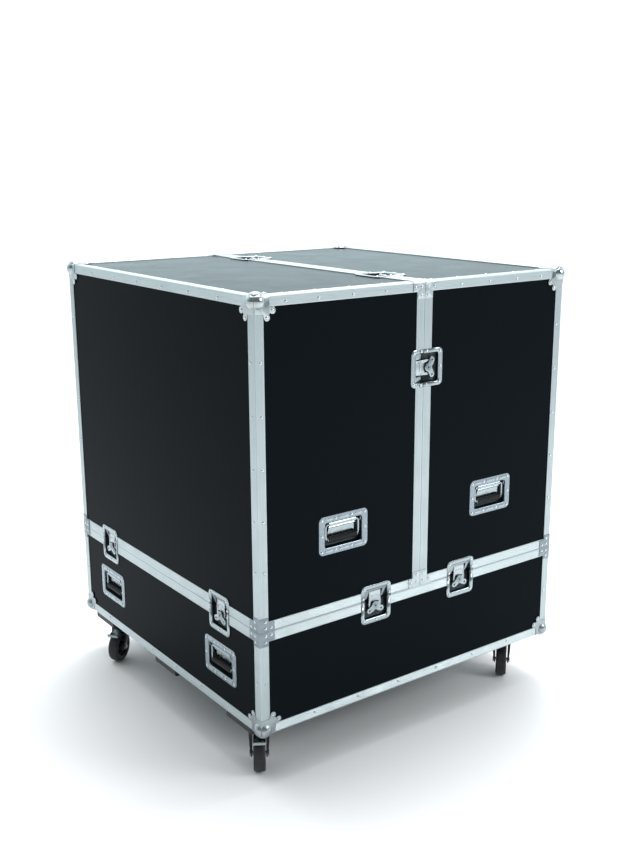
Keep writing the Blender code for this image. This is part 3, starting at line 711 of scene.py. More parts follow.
# %% One ball corner; the case fills the octant behind its three faces
def ball_petal(k):
    """The part of the ball over face k, pulled in at the creases."""
    steps = [-1.4, -1.15, -0.9, -0.65, -0.4, -0.15, 0.1, 0.3, 0.48, 0.64, 0.77, 0.87, 0.93, 0.97, 1.0]
    points = []
    for s in steps:
        for t in steps:
            way = Vector((0, 0, 0))
            way[k], way[(k + 1) % 3], way[(k + 2) % 3] = 1, s, t
            off = (1 - max(s, t)) * BALL_R * 0.62
            reach = BALL_R - CREASE * math.exp(-off / CREASE_W)
            points.append(way.normalized() * reach - Vector((1, 1, 1)) * BALL_IN)
    n = len(steps)
    faces = [(i * n + j, (i + 1) * n + j, (i + 1) * n + j + 1, i * n + j + 1)
             for i in range(n - 1) for j in range(n - 1)]
    return mesh_of(points, faces, tidy=False)


def eared_plate():
    half = [(CORNER_R, CORNER_R), (REACH, CORNER_R), (REACH + 0.001, FLANGE - 0.002)]
    half += arc(EAR, EAR_R, -60, 140, 8)
    return half + [(q, p) for p, q in half[:0:-1]]


def plain_plate():
    """Under the tray the plate is cut short beside the runner."""
    return [(CORNER_R, CORNER_R), (REACH, CORNER_R), (REACH, FLANGE - 0.002),
            (FLANGE - 0.002, REACH), (CORNER_R, REACH)]


FOLD = arc((-CORNER_R, -CORNER_R), CORNER_R + PLATE, 90, 0, 6)
FOLD += arc((-CORNER_R, -CORNER_R), CORNER_R - 0.0004, 0, 90, 6)


def folded_edge(length, start=0.0):
    """Where two plates meet round an edge: a quarter ring along -X, below and behind it."""
    return sweep(FOLD, straight(0, -start, -length))


def ball_corner(underside):
    """Petals, plates and folded edges. Its axes point outwards."""
    parts = [ball_petal(k) for k in range(3)]
    cycle = [X, Y, Z]
    for k in range(3):
        plain = underside and k == 2
        plate = stamped(plain_plate() if plain else eared_plate(), PLATE)
        parts.append(moved(plate, axes_at(Vector(), -cycle[(k + 1) % 3], -cycle[(k + 2) % 3], cycle[k])))
        turn = axes_at(Vector(), cycle[k], cycle[(k + 1) % 3], cycle[(k + 2) % 3])
        parts.append(moved(folded_edge(REACH), turn))
    return joined(parts)


def corner_axes(sx, sy, sz):
    """A right-handed frame at a corner of the case whose axes all point outwards."""
    place = Vector((sx * SIDE_X, sy * FACE_Y, LID_Z if sz > 0 else BASE_Z))
    if sx * sy * sz > 0:
        return axes_at(place, X * sx, Y * sy, Z * sz)
    return axes_at(place, Y * sy, X * sx, Z * sz)


print("a petal has", len(ball_petal(0).polygons), "faces")

# %% Ball corners on the case
upper, lower = ball_corner(False), ball_corner(True)
for body, sx_all, sz in (("tray", (-1, 1), -1), ("left_hood", (-1,), 1), ("right_hood", (1,), 1)):
    for sx in sx_all:
        for sy, end in ((-1, "front"), (1, "back")):
            at = corner_axes(sx, sy, sz)
            side = "left" if sx < 0 else "right"
            level = "bottom" if sz < 0 else "top"
            piece(f"ball_{level}_{end}_{side}", moved(lower if sz < 0 else upper, at),
                  ball_scuffed if sz < 0 else ball_bright, body,
                  [f"{body}_frame"], sharp=28)
            for k in range(3 if sz > 0 else 2):
                cycle = [Vector(at.col[i][:3]) for i in range(3)]
                face = axes_at(at.translation, -cycle[(k + 1) % 3], -cycle[(k + 2) % 3], cycle[k])
                rivet_on(body, face, *EAR, PLATE)
                rivet_on(body, face, *EAR[::-1], PLATE)
print("eight ball corners")

# %% [markdown]
# ## Braces
# Where the joint line crosses a corner, a bent brace holds the ends of both extrusions. It is
# cut along the joint line, one half on the tray and one on the hood. Flat tee braces do the
# same at the ends of the seam, and at the lid they fold over the edge.

# %% Brace sizes
BRACE_W = 0.047
BRACE_H = 0.040
COLUMN = 0.0275
TEE_ARM = 0.042
BRACE_ROUND = 0.003
BRACE_RIVETS = ((0.0183, 0.011), (0.0183, 0.0285), (0.036, 0.010))
TEE_RIVETS = ((0.012, 0.015), (0.034, 0.015), (0.012, 0.038))


def square_ended(outline):
    """A brace plate: its corners are rounded, but not the two where it meets its other half."""
    return stamped(outline[:1] + softened(outline, BRACE_ROUND)[4:-4] + outline[-1:], PLATE)


print("braces reach", BRACE_W * 1000, "mm from a corner")


# %% Corner braces at the joint line
def brace_face():
    """One leaf of half a corner brace: p along the face from the corner, q off the line."""
    outline = [(CORNER_R, HALF_GAP * 2), (BRACE_W, HALF_GAP * 2), (BRACE_W, COLUMN - 0.001),
               (COLUMN, COLUMN - 0.001), (COLUMN, BRACE_H), (CORNER_R, BRACE_H)]
    return square_ended(outline)


leaf = brace_face()
fold = sweep(FOLD, straight(2, HALF_GAP * 2, BRACE_H))
for body, sx_all, up in (("tray", (-1, 1), -1), ("left_hood", (-1,), 1), ("right_hood", (1,), 1)):
    parts = []
    for sx in sx_all:
        for sy in (-1, 1):
            corner = Vector((sx * SIDE_X, sy * FACE_Y, JOINT_Z))
            parts.append(moved(fold, axes_at(corner, X * sx, Y * sy, Z * up)))
            for inward, normal in ((-X * sx, Y * sy), (-Y * sy, X * sx)):
                at = axes_at(corner, inward, Z * up, normal)
                parts.append(moved(leaf, at))
                for p, q in BRACE_RIVETS:
                    rivet_on(body, at, p, q, PLATE)
    piece(f"{body}_corner_braces", joined(parts), zinc_brace, body, [f"{body}_frame"])
print("corner braces are", PLATE * 1000, "mm sheet")


# %% Tee braces at the ends of the seam
def tee_face(start):
    """Half a tee: p off the seam, q along it from its end."""
    outline = [(HALF_GAP * 2, start), (TEE_ARM, start), (TEE_ARM, COLUMN), (COLUMN, COLUMN),
               (COLUMN, BRACE_W), (HALF_GAP * 2, BRACE_W)]
    return square_ended(outline)


for hood, s in (("left_hood", -1), ("right_hood", 1)):
    parts = []
    for t in (-1, 1):
        front = Y * t * FACE_Y
        tees = ((tee_face(CORNER_R), front + Z * LID_Z, -Z, Y * t),
                (tee_face(CORNER_R), front + Z * LID_Z, -Y * t, Z),
                (tee_face(HALF_GAP * 2), front + Z * JOINT_Z, Z, Y * t))
        for mesh, place, away, normal in tees:
            at = axes_at(place, X * s, away, normal)
            parts.append(moved(mesh, at))
            for p, q in TEE_RIVETS:
                rivet_on(hood, at, p, q, PLATE)
        bend = axes_at(front + Z * LID_Z, -X * s, Y * t, Z)
        parts.append(moved(folded_edge(TEE_ARM, HALF_GAP * 2), bend))
    piece(f"{hood}_tee_braces", joined(parts), zinc_latch, hood, [f"{hood}_frame"])
print("tee braces reach", TEE_ARM * 1000, "mm from the seam")

# %% [markdown]
# ## Rivets along the extrusions
# The flanges are riveted to the panels about every 140 mm, two thirds of the way across the
# flange. The rims hold by their inner leg and need rivets only under the braces.

# %% Rivet lines
LINE = 0.018                             # from the corner, across the flange
POST_RIVETS = (0.461, 0.598, 0.735, 0.872, 1.008)       # up a hood's corner, from the underside
SIDE_RIVETS = (-0.374, -0.222, -0.074, 0.074, 0.222, 0.374)
LID_RIVETS = (0.135, 0.245, 0.355, 0.455)               # along the lid's edge, from the seam
for s in (-1, 1):
    hood = "left_hood" if s < 0 else "right_hood"
    for t in (-1, 1):
        corner = Vector((s * SIDE_X, t * FACE_Y, 0))
        for inward, normal in ((-X * s, Y * t), (-Y * t, X * s)):
            at = axes_at(corner, inward, Z, normal)
            rivet_on("tray", at, LINE, (BASE_Z + JOINT_Z) / 2)
            for height in POST_RIVETS:
                rivet_on(hood, at, LINE, BASE_Z + height)
    for along in SIDE_RIVETS:
        rivet_on("tray", axes_at(Y * s * FACE_Y + Z * BASE_Z, X, Z, Y * s), along, LINE)
        rivet_on("tray", axes_at(X * s * SIDE_X + Z * BASE_Z, Y, Z, X * s), along, LINE)
        rivet_on(hood, axes_at(X * s * SIDE_X + Z * LID_Z, Y, -Z, X * s), along, LINE)
        rivet_on(hood, axes_at(X * s * (SIDE_X - LINE) + Z * LID_Z, Y, X, Z), along, 0)
    for along in LID_RIVETS:
        for t in (-1, 1):
            rivet_on(hood, axes_at(Y * t * FACE_Y + Z * LID_Z, X, -Z, Y * t), s * along, LINE)
            rivet_on(hood, axes_at(Y * t * (FACE_Y - LINE) + Z * LID_Z, X, Y, Z), s * along, 0)
print("rivets so far:", {body: len(spots) for body, spots in rivets.items()})

# %% [markdown]
# ## Latch dishes
# A twist latch sits in a dish pressed from 1.2 mm sheet: a bulged rim on the extrusions and a
# pocket sunk into the panel. The dish is sawn in two along the joint line. The butterfly's
# half is the longer one. The sheet is built ring by ring, from the rim's outer edge over the
# bulge and down into the pocket, then cut in two by a plane.

# %% Latch sizes; a runs across, b away from the keeper and c outwards
DISH = (-0.053, 0.053, -0.0455, 0.0685, 0.014)
POCKET = (-0.0405, 0.0405, -0.032, 0.054, 0.007)
FLOOR = 0.0125
DISH_DRAW = [(0, -0.0022), (0, -0.0002), (0.03, 0.0006), (0.12, 0.0012), (0.3, 0.0016), (0.6, 0.0016),
             (0.8, 0.0012), (0.92, 0.0004), (0.985, -0.0008), (1.0, -0.0022), (1.02, -0.0100),
             (1.06, -0.0118), (1.14, -0.0125)]
SHEET = 0.0012
DISH_PAINTED_SHADE = 0.003                        # the dish takes the painted shade deeper than this
RIM_PROUD = 0.0015                       # the rim's bulge, which carries the rivets


# %% Both halves of a latch dish
def half_dish(side):
    """The dish on one side of the joint line: 1 for the butterfly's, -1 for the keeper's."""
    form = bmesh.new()
    form.from_mesh(pressed(DISH, POCKET, DISH_DRAW))
    everything = [*form.verts, *form.edges, *form.faces]
    bmesh.ops.bisect_plane(form, geom=everything, plane_co=(0, side * HALF_GAP * 2, 0),
                           plane_no=(0, side, 0), clear_inner=True)
    return written(form, "half_dish")


DISH_RIVETS = {1: ((-0.0425, 0.0585), (0.0425, 0.0585), (0, 0.0612), (-0.0468, 0.010), (0.0468, 0.010)),
               -1: ((-0.0425, -0.0355), (0.0425, -0.0355), (-0.0468, -0.010), (0.0468, -0.010))}
latch_names = [name[:-len("_latch_turn")] for name in joints if name.endswith("_latch_turn")]
far_dish, near_dish = deep_faces(half_dish(1), DISH_PAINTED_SHADE), deep_faces(half_dish(-1), DISH_PAINTED_SHADE)
print(len(latch_names), "latches; a dish half has", len(far_dish.polygons), "faces")

# %% [markdown]
# ## Latch works
# The butterfly is a stamped wing with a hole in each ear and two pressed ribs. The rotor that
# it sits on is turned, and is a piece of its own because its steel is duller. The rotor's cam
# drives a hook plate whose lip pulls behind a keeper bar in the other half. At rest the wing
# lies flat and the hook is drawn up. A sloping ramp on the keeper's side guides the lip.

# %% Butterfly
wing_half = [(0.004, -0.0115), (0.0095, -0.0085), (0.0125, -0.0010), (0.0200, 0.0035)]
wing_half += arc((0.0205, 0.0125), 0.0088, -60, 120, 7) + [(0.0075, 0.0165), (0.0030, 0.0125)]
wing_outline = wing_half + [(-p, q) for p, q in wing_half[::-1]]
ear_holes = [stadium(s * 0.0205, 0.0125, 0.0058, 0.0058) for s in (-1, 1)]
wing = moved(stamped(wing_outline, 0.0016, ear_holes, 0.0004), shift(0, 0, -0.0034))
ribs = [moved(stamped(stadium(0, 0, 0.016, 0.0030), 0.0009, edge=0.0004),
              shift(s * 0.0105, 0.0060, -0.0020) @ Matrix.Rotation(s * 0.75, 4, "Z"))
        for s in (-1, 1)]
rotor = turned([(0.0110, -0.0122), (0.0110, -0.0052), (0.0104, -0.0044), (0.0098, -0.0036),
                (0.0096, -0.0018), (0.0090, -0.0012), (0.0078, -0.0012), (0.0074, -0.0020),
                (0.0068, -0.0020), (0.0064, -0.0010), (0.0030, -0.0010), (0.0024, -0.0018),
                (0.0002, -0.0018)], sides=28)
butterfly = joined([wing] + ribs)
print("the wing spans", round(2 * max(v.co.x for v in butterfly.vertices) * 1000), "mm")

# %% Hook plate and keeper
hook_outline = [(-0.020, -0.0228), (0.020, -0.0228), (0.022, 0.0340), (0.0142, 0.0340),
                (0.0142, 0.0080), (-0.0142, 0.0080), (-0.0142, 0.0340), (-0.022, 0.0340)]
hook_plate = moved(stamped(softened(hook_outline, 0.0018), 0.0016), shift(0, 0, -0.0077))
lip = moved(stamped(softened(rectangle(-0.020, 0.020, 0, 0.0042), 0.0012), 0.0016),
            axes_at(Vector((0, -0.0228, -0.0072)), X, -Z, Y))
hook_ribs = [moved(stamped(stadium(0, 0, length, 0.0040), 0.0010, edge=0.0004),
                   shift(x, y, -0.0062) @ Matrix.Rotation(turn, 4, "Z"))
             for x, y, length, turn in ((-0.0181, 0.012, 0.036, math.pi / 2),
                                        (0.0181, 0.012, 0.036, math.pi / 2), (0, -0.008, 0.024, 0.0))]
hook = joined([hook_plate, lip] + hook_ribs)
keeper_base = stamped(softened(rectangle(-0.027, 0.027, -0.0305, -0.0125), 0.003), 0.0012,
                      [stadium(0, -0.0262, 0.026, 0.0030)])
keeper_bar = sweep(softened(rectangle(-0.0199, -0.0161, 0, 0.0034), 0.0010),
                   straight(0, -0.0199, 0.0199))
keeper = moved(joined([keeper_base, keeper_bar]), shift(0, 0, -FLOOR))
ramp_outline = [(-0.0402, 0), (0.0402, 0), (0.0402, 0.0315), (0.0242, 0.0315), (0.0242, 0.0068),
                (-0.0242, 0.0068), (-0.0242, 0.0315), (-0.0402, 0.0315)]
ramp_slope = math.radians(-16.5)
ramp = moved(stamped(softened(ramp_outline, 0.0015), 0.0010, edge=0.0003),
             shift(0, -0.0319, -0.0017) @ Matrix.Rotation(ramp_slope, 4, "X"))
print("hook plate", len(hook.polygons), "faces, keeper", len(keeper.polygons))

# %% Latches on the case
for name in latch_names:
    turn, draw = joints[f"{name}_latch_turn"], joints[f"{name}_latch_draw"]
    b, c = -Vector(draw["axis"]), Vector(turn["axis"])
    at = axes_at(pivot(f"{name}_latch_turn") - b * ROTOR, b.cross(c), b, c)
    holder = turn["parent"]
    across = "left_hood" if holder != "tray" or at.translation.x < 0 else "right_hood"
    # The pockets' deep faces and the keepers take the dark steel that paints the pocket's shade
    piece(f"{name}_dish_far", far_dish.copy(), [zinc_dish, painted_shade_steel], holder,
          [f"{holder}_frame"], at, sheet=SHEET)
    piece(f"{name}_dish_near", near_dish.copy(), [zinc_dish, painted_shade_steel], across,
          [f"{across}_frame"], at, sheet=SHEET)
    piece(f"{name}_keeper", keeper.copy(), painted_shade_steel, across, [f"{across}_frame"], at)
    piece(f"{name}_ramp", ramp.copy(), zinc_dish, across, [f"{across}_frame"], at)
    piece(f"{name}_butterfly", butterfly.copy(), zinc_dish, f"{name}_latch_butterfly",
          [f"{name}_latch_butterfly"], at @ shift(0, ROTOR, 0))
    piece(f"{name}_rotor", rotor.copy(), drawn_steel, f"{name}_latch_butterfly",
          [f"{name}_latch_butterfly"], at @ shift(0, ROTOR, 0))
    piece(f"{name}_hook", hook.copy(), zinc_latch, f"{name}_latch_hook",
          [f"{name}_latch_hook"], at)
    for side, body in ((1, holder), (-1, across)):
        for x, y in DISH_RIVETS[side]:
            rivet_on(body, at, x, y, RIM_PROUD)
print("latches:", ", ".join(latch_names))

# %% [markdown]
# ## Recessed handles
# A handle is a sprung bail in a pressed well. A spring folds it back into the well, so it never
# stands out in a truck pack. The spring hides under a sheet cover that is rolled round the
# hinge bar. The rubber grip is moulded on the wire between two ferrules. The flange carries
# embossed ovals that stiffen the sheet, and ten rivets.

# %% Handle sizes; a runs across, b up and c outwards
TRAY = (-0.082, 0.082, -0.054, 0.054, 0.014)
WELL = (-0.063, 0.063, -0.035, 0.035, 0.008)
WELL_DRAW = [(0, -0.0022), (0.0, -0.0014), (0.03, -0.0007), (0.10, -0.0005), (0.60, -0.0005),
             (0.82, -0.0002), (0.93, -0.0006), (0.985, -0.0016), (1.0, -0.0032), (1.03, -0.0160),
             (1.07, -0.0178), (1.16, -0.0185)]
BAR = (0.027, -0.009)                    # hinge bar: b and c
BAIL_W = 0.055                           # half the bail's width
DROP = 0.042                             # from the hinge bar down to the grip
GRIP = 0.048                             # half the grip's length
WIRE_R = 0.0034
WELL_PAINTED_SHADE = 0.005                        # the well takes the painted shade deeper than this
FLANGE_BACK = -0.0005                    # the flange lies this far behind the face
handle_names = [name[:-len("_handle_swing")] for name in joints if name.endswith("_handle_swing")]


# %% Dish, lugs and spring cover
embossed = [moved(stamped(stadium(x, y, length, 0.0075), 0.0016, edge=0.0007),
                  shift(0, 0, -0.0012))
            for y in (-0.0445, 0.0445) for x, length in ((0, 0.034), (-0.050, 0.026), (0.050, 0.026))]
lugs = [moved(stamped(softened(rectangle(-0.0185, -0.0035, 0.020, 0.034), 0.004), 0.0018),
              axes_at(Vector((s * 0.0600, 0, 0)), Z, Y, -X)) for s in (-1, 1)]
cover_line = [(0.0350, -0.0045), (0.0322, -0.0062), (0.0300, -0.0048), (0.0270, -0.0042),
              (0.0235, -0.0052), (0.0222, -0.0088), (0.0212, -0.0108), (0.0195, -0.0098),
              (0.0176, -0.0092), (0.0163, -0.0100), (0.0158, -0.0132), (-0.0085, -0.0158)]
cover = sweep(cover_line + [(b - 0.0006, c - 0.0010) for b, c in cover_line[::-1]],
              straight(0, -0.0450, 0.0450))
handle_dish = deep_faces(pressed(TRAY, WELL, WELL_DRAW), WELL_PAINTED_SHADE)
handle_fittings = joined(embossed + lugs + [cover])
HANDLE_RIVETS = [(s * 0.0725, t * 0.0440) for s in (-1, 1) for t in (-1, 0, 1)]
HANDLE_RIVETS += [(s * 0.027, t * 0.0445) for s in (-1, 1) for t in (-1, 1)]
print("handle dish", len(handle_dish.polygons), "faces; fittings", len(handle_fittings.polygons))

# %% Bail and grip, about the hinge bar
loop = softened(rectangle(-BAIL_W, BAIL_W, -DROP, 0), 0.009, 5)
ferrules = [moved(turned([(0.0034, s * 0.0462), (0.0058, s * 0.0482), (0.0062, s * 0.0488),
                          (0.0060, s * 0.0504), (0.0034, s * 0.0508)][::s], "X", 18),
                  shift(0, -DROP, 0)) for s in (-1, 1)]
bail = joined([wire([(p, q, 0) for p, q in loop], WIRE_R, closed=True)] + ferrules)
grip_profile = [(0.0036, -GRIP), (0.0068, -GRIP), (0.0083, -GRIP + 0.0012)]
for k in range(15):
    at = -GRIP + 0.0060 + k * 0.0060
    grip_profile += [(0.0085, at - 0.0022), (0.0077, at), (0.0085, at + 0.0022)]
grip_profile += [(0.0083, GRIP - 0.0012), (0.0068, GRIP), (0.0036, GRIP)]
grip = moved(turned(grip_profile, "X", 20), shift(0, -DROP, 0))
print("the grip is", GRIP * 2000, "mm long and 17 mm thick")

# %% Handles on the case
for name in handle_names:
    swing = joints[f"{name}_handle_swing"]
    a = -Vector(swing["axis"])
    c = a.cross(Z)
    at = axes_at(pivot(f"{name}_handle_swing") - Z * BAR[0] - c * BAR[1], a, Z, c)
    holder = swing["parent"]
    hinge = at @ shift(0, *BAR)
    # The well's deep faces take the dark steel that paints its shade
    piece(f"{name}_handle_tray", handle_dish.copy(), [drawn_steel, painted_shade_steel], holder,
          [f"{name}_handle_dish"], at, sheet=SHEET)
    piece(f"{name}_handle_fittings", handle_fittings.copy(), zinc_dish, holder,
          [f"{name}_handle_dish"], at)
    piece(f"{name}_bail_wire", bail.copy(), zinc_dish, f"{name}_handle_bail",
          [f"{name}_handle_bail"], hinge)
    piece(f"{name}_bail_grip", grip.copy(), grip_rubber, f"{name}_handle_bail",
          [f"{name}_handle_bail"], hinge)
    for x, y in HANDLE_RIVETS:
        rivet_on(holder, at, x, y, FLANGE_BACK)
print("handles:", ", ".join(handle_names))

# %% Make the rivets of each body
for body, spots in rivets.items():
    piece(f"{body}_rivets", joined([moved(rivet, spot) for spot in spots]), rivet_steel, body)
print("rivets:", {body: len(spots) for body, spots in rivets.items()})

# %% [markdown]
# ## Runners
# Three softwood boards keep the underside off the floor and carry the casters. Their ends are
# chamfered, so that they ride up on a ramp. Countersunk screws hold them to the tray.

# %% Boards and screws
BOARD_T = 0.022
BOARD_GAP = 0.0003                       # between the boards and the underside
BOARD_CUT = 0.005                        # chamfer at the ends
BOARD_LOW = BASE_Z - BOARD_GAP - BOARD_T
screw = turned([(0.0048, -0.0004), (0.0046, 0.0004), (0.0030, 0.0007), (0.0002, 0.0002)], sides=12)
for name in ("front_runner", "middle_runner", "back_runner"):
    low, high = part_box(name)
    top, half = high.z, high.x
    outline = [(-half, top), (half, top), (half, BOARD_LOW + BOARD_CUT), (half - BOARD_CUT, BOARD_LOW),
               (BOARD_CUT - half, BOARD_LOW), (-half, BOARD_LOW + BOARD_CUT)]
    board = sweep(outline, straight(1, low.y, high.y))
    piece(f"{name}_board", board, painted_board, "tray", [name], round_off=0.0015)
    heads = [moved(screw, axes_at(Vector((x, (low.y + high.y) / 2 + y, BOARD_LOW)), X, -Y, -Z))
             for x in (-0.34, -0.12, 0.12, 0.34) for y in (-0.035, 0.035)]
    piece(f"{name}_screws", joined(heads), zinc_latch, "tray")
print("runner thickness", round((top - BOARD_LOW) * 1000, 1), "mm")

# %% [markdown]
# ## Casters
# A swivel caster has a top plate bolted to the runner, a raceway under a pressed skirt, and a
# fork that trails the wheel behind the swivel. The fork's legs are stiffened by flanges bent
# out of their front edges. The axle is a bolt with a lock nut. The two casters on the left
# carry a brake pedal. Each caster is built in its own frame, with its trail along
# the first axis, and that frame is read from the swivel's and the axle's joints.

# %% Caster sizes
WHEEL_R = 0.050
TREAD_W = 0.034
LEG_IN, LEG_OUT = 0.0195, 0.0225         # the fork legs' inner and outer faces
LEG_BACK, LEG_FRONT = -0.025, 0.033      # their reach along the trail, at the crown
LEG_TOP = -0.0285
BEND_LOW = -0.030                        # where the crown's bent sides end
RACE_R = 0.030
RACE_H = 0.012
CROWN_T = 0.004
caster_names = [name[:-len("_swivel")] for name in joints if name.endswith("_swivel")]


def caster_axes(name):
    """The swivel's frame: trail along its first axis, up along its third."""
    at, axle = pivot(f"{name}_swivel"), pivot(f"{name}_roll")
    trail = Vector((axle.x - at.x, axle.y - at.y, 0))
    way = trail.normalized()
    return axes_at(at, way, Z.cross(way), Z), trail.length, at.z - axle.z


_, TRAIL, AXLE_DROP = caster_axes(caster_names[0])
print("casters:", caster_names, "trail", round(TRAIL, 4), "axle below plate", round(AXLE_DROP, 4))

# %% Fork
race = turned([(0.020, -0.0002), (RACE_R - 0.001, -0.0002), (RACE_R, -0.0012), (RACE_R, -0.0042),
               (RACE_R - 0.0022, -0.0054), (RACE_R - 0.0022, -0.0066), (RACE_R, -0.0078),
               (RACE_R, -0.0108), (RACE_R - 0.0012, -RACE_H), (0.0002, -RACE_H)], sides=40)
crown_low = -RACE_H - CROWN_T
outer = [(-LEG_OUT, BEND_LOW)] + arc((-LEG_OUT + 0.005, -RACE_H - 0.005), 0.005, 180, 90, 5)
outer += arc((LEG_OUT - 0.005, -RACE_H - 0.005), 0.005, 90, 0, 5) + [(LEG_OUT, BEND_LOW)]
inner = [(LEG_IN, BEND_LOW)] + arc((LEG_IN - 0.003, crown_low + 0.001 - 0.003), 0.003, 0, 90, 4)
inner += arc((-LEG_IN + 0.003, crown_low + 0.001 - 0.003), 0.003, 90, 180, 4) + [(-LEG_IN, BEND_LOW)]
crown = sweep(outer + inner, straight(0, LEG_BACK, LEG_FRONT))
axle_eye = arc((TRAIL, -AXLE_DROP), 0.0125, 15, -195, 10)
leg_outline = [(LEG_BACK, LEG_TOP)] + axle_eye[::-1] + [(LEG_FRONT, LEG_TOP)]
leg = stamped(leg_outline, LEG_OUT - LEG_IN, edge=0.0006)
legs = [moved(leg, axes_at(Vector((0, y, 0)), X, Z, -Y)) for y in (LEG_OUT, -LEG_IN)]
skirt = turned([(0.0285, -RACE_H + 0.0002), (0.0300, -RACE_H - 0.0006), (0.0305, -RACE_H - 0.0040),
                (0.0290, -RACE_H - 0.0085), (0.0250, -RACE_H - 0.0125), (0.0238, -RACE_H - 0.0118),
                (0.0270, -RACE_H - 0.0078), (0.0280, -RACE_H - 0.0040)], sides=40)
edge_points = [(0.0325, -0.0200), (0.0335, -0.0300), (0.0420, -0.0520),
               (TRAIL + 0.0120, -AXLE_DROP + 0.004)]
flanges = []
for s in (-1, 1):
    section = [(0, 0), (s * 0.0062, 0.0006), (s * 0.0066, 0.0016), (s * 0.0062, 0.0026), (0, 0.0022)]
    places = [lambda v, u, x=x, z=z, s=s, w=w: Vector((x - u, s * (LEG_OUT - 0.0008) + v * w, z))
              for (x, z), w in zip(edge_points, (1.2, 1.1, 0.9, 0.5))]
    flanges.append(sweep(section, places))
fork = joined([race, skirt, crown] + legs + flanges)
print("fork", len(fork.polygons), "faces")

# %% Axle, nut, top plate and its bolts
hexagon = arc((0, 0), 0.0085, 0, 300, 5)
axle_line = axes_at(Vector((TRAIL, 0, -AXLE_DROP)), X, Z, -Y)
shaft = turned([(0.0002, -LEG_OUT), (0.006, -LEG_OUT), (0.006, LEG_OUT), (0.0002, LEG_OUT)], sides=16)
washer = turned([(0.0002, 0), (0.0100, 0), (0.0102, 0.0004), (0.0100, 0.0012), (0.0002, 0.0012)])
head = stamped(hexagon, 0.0040, edge=0.0006)
nut = turned([(0.0070, 0), (0.0070, 0.0012), (0.0048, 0.0022), (0.0002, 0.0022)], sides=20)
axle_parts = [shaft]
for s in (-1, 1):
    out = shift(0, 0, LEG_OUT) if s > 0 else axes_at(Vector((0, 0, -LEG_OUT)), X, -Y, -Z)
    axle_parts += [moved(washer, out), moved(head, out @ shift(0, 0, 0.0010))]
axle = joined([moved(part, axle_line) for part in axle_parts])
bolt_spots = [(s * 0.040, t * 0.030) for s in (-1, 1) for t in (-1, 1)]
top_plate = stamped(rounded_rectangle(-0.0525, 0.0525, -0.0425, 0.0425, 0.008), 0.0027)
bolt = joined([moved(washer, Matrix.Identity(4)), moved(head, shift(0, 0, 0.0008)),
               moved(nut, shift(0, 0, 0.0044))])
plate_set = joined([top_plate] + [moved(bolt, shift(x, y, 0.0024)) for x, y in bolt_spots])
print("top plate", len(plate_set.polygons), "faces")

# %% [markdown]
# The wheel is two mouldings: a hub with a thin web and ribs, and a tread cast round it with
# rounded shoulders. Both are turned profiles about the axle; the ribs are stamped plates set
# on edge.

# %% Wheel
PACKED_SIDES = 32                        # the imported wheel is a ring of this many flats
half = TREAD_W / 2
flat_r = WHEEL_R * math.cos(math.pi / PACKED_SIDES)
tread_profile = [(0.0375, -half + 0.0035), (0.0400, -half + 0.0008), (0.0440, -half + 0.0002),
                 (0.0472, -half + 0.0012), (0.0490, -half + 0.0035), (flat_r, -half + 0.0075),
                 (flat_r, half - 0.0075), (0.0490, half - 0.0035), (0.0472, half - 0.0012),
                 (0.0440, half - 0.0002), (0.0400, half - 0.0008), (0.0375, half - 0.0035)]
tread = turned(tread_profile + tread_profile[:1], "Y", 64)
hub_profile = [(0.0066, -half), (0.0135, -half), (0.0150, -half + 0.0012), (0.0155, -0.0060),
               (0.0170, -0.0045), (0.0320, -0.0045), (0.0335, -0.0060), (0.0340, -half + 0.0030),
               (0.0380, -half + 0.0030), (0.0380, half - 0.0030), (0.0340, half - 0.0030),
               (0.0335, 0.0060), (0.0320, 0.0045), (0.0170, 0.0045), (0.0155, 0.0060),
               (0.0150, half - 0.0012), (0.0135, half), (0.0066, half)]
hub = turned(hub_profile + hub_profile[:1], "Y", 48)
rib = stamped(rectangle(0.0145, 0.0350, -half + 0.0040, half - 0.0040), 0.0022, edge=0.0004)
hub_ribs = [moved(rib, Matrix.Rotation(math.radians(45 * k), 4, "Y") @ shift(0, 0, -0.0011))
            for k in range(8)]
hub = joined([hub] + hub_ribs)
print("tread", len(tread.polygons), "faces, hub", len(hub.polygons))

# %% [markdown]
# The brake pedal is folded from plate: a narrow arm between two cheeks, and a wider tread with
# raised bars for grip. The tread's tip turns up, so that a shoe can lift it again.

# %% Brake pedal
PEDAL_HALF, TREAD_HALF = 0.013, 0.0175
arm_line = [(-0.004, 0.0045), (0.014, 0.0038), (0.028, 0.0014), (0.036, -0.0014)]
tread_line = [(0.034, -0.0006), (0.040, -0.0030), (0.050, -0.0066), (0.0560, -0.0066),
              (0.0585, -0.0040), (0.0592, 0.0030)]
pedal_sheets = []
for line, half_width in ((arm_line, PEDAL_HALF), (tread_line, TREAD_HALF)):
    section = line + [(x - 0.0012, z + 0.0020) for x, z in reversed(line)]
    pedal_sheets.append(sweep(section, straight(1, -half_width, half_width)))
pedal_bars = [moved(turned([(0.0002, -0.0140), (0.0009, -0.0140), (0.0009, 0.0140), (0.0002, 0.0140)],
                           "Y", 8), shift(x, 0, z))
              for x, z in ((0.042, -0.0016), (0.046, -0.0030), (0.050, -0.0044), (0.054, -0.0045))]
pedal_pin = turned([(0.0002, -0.0190), (0.0030, -0.0190), (0.0030, 0.0190), (0.0002, 0.0190)], "Y", 16)
cheeks = [moved(stamped(softened(rectangle(-0.004, 0.017, -0.0008, 0.0055), 0.003), 0.0016),
                axes_at(Vector((0, y, 0)), X, Z, -Y)) for y in (-0.0114, 0.0130)]
pedal = joined(pedal_sheets + [pedal_pin] + pedal_bars + cheeks)
print("pedal", len(pedal.polygons), "faces")

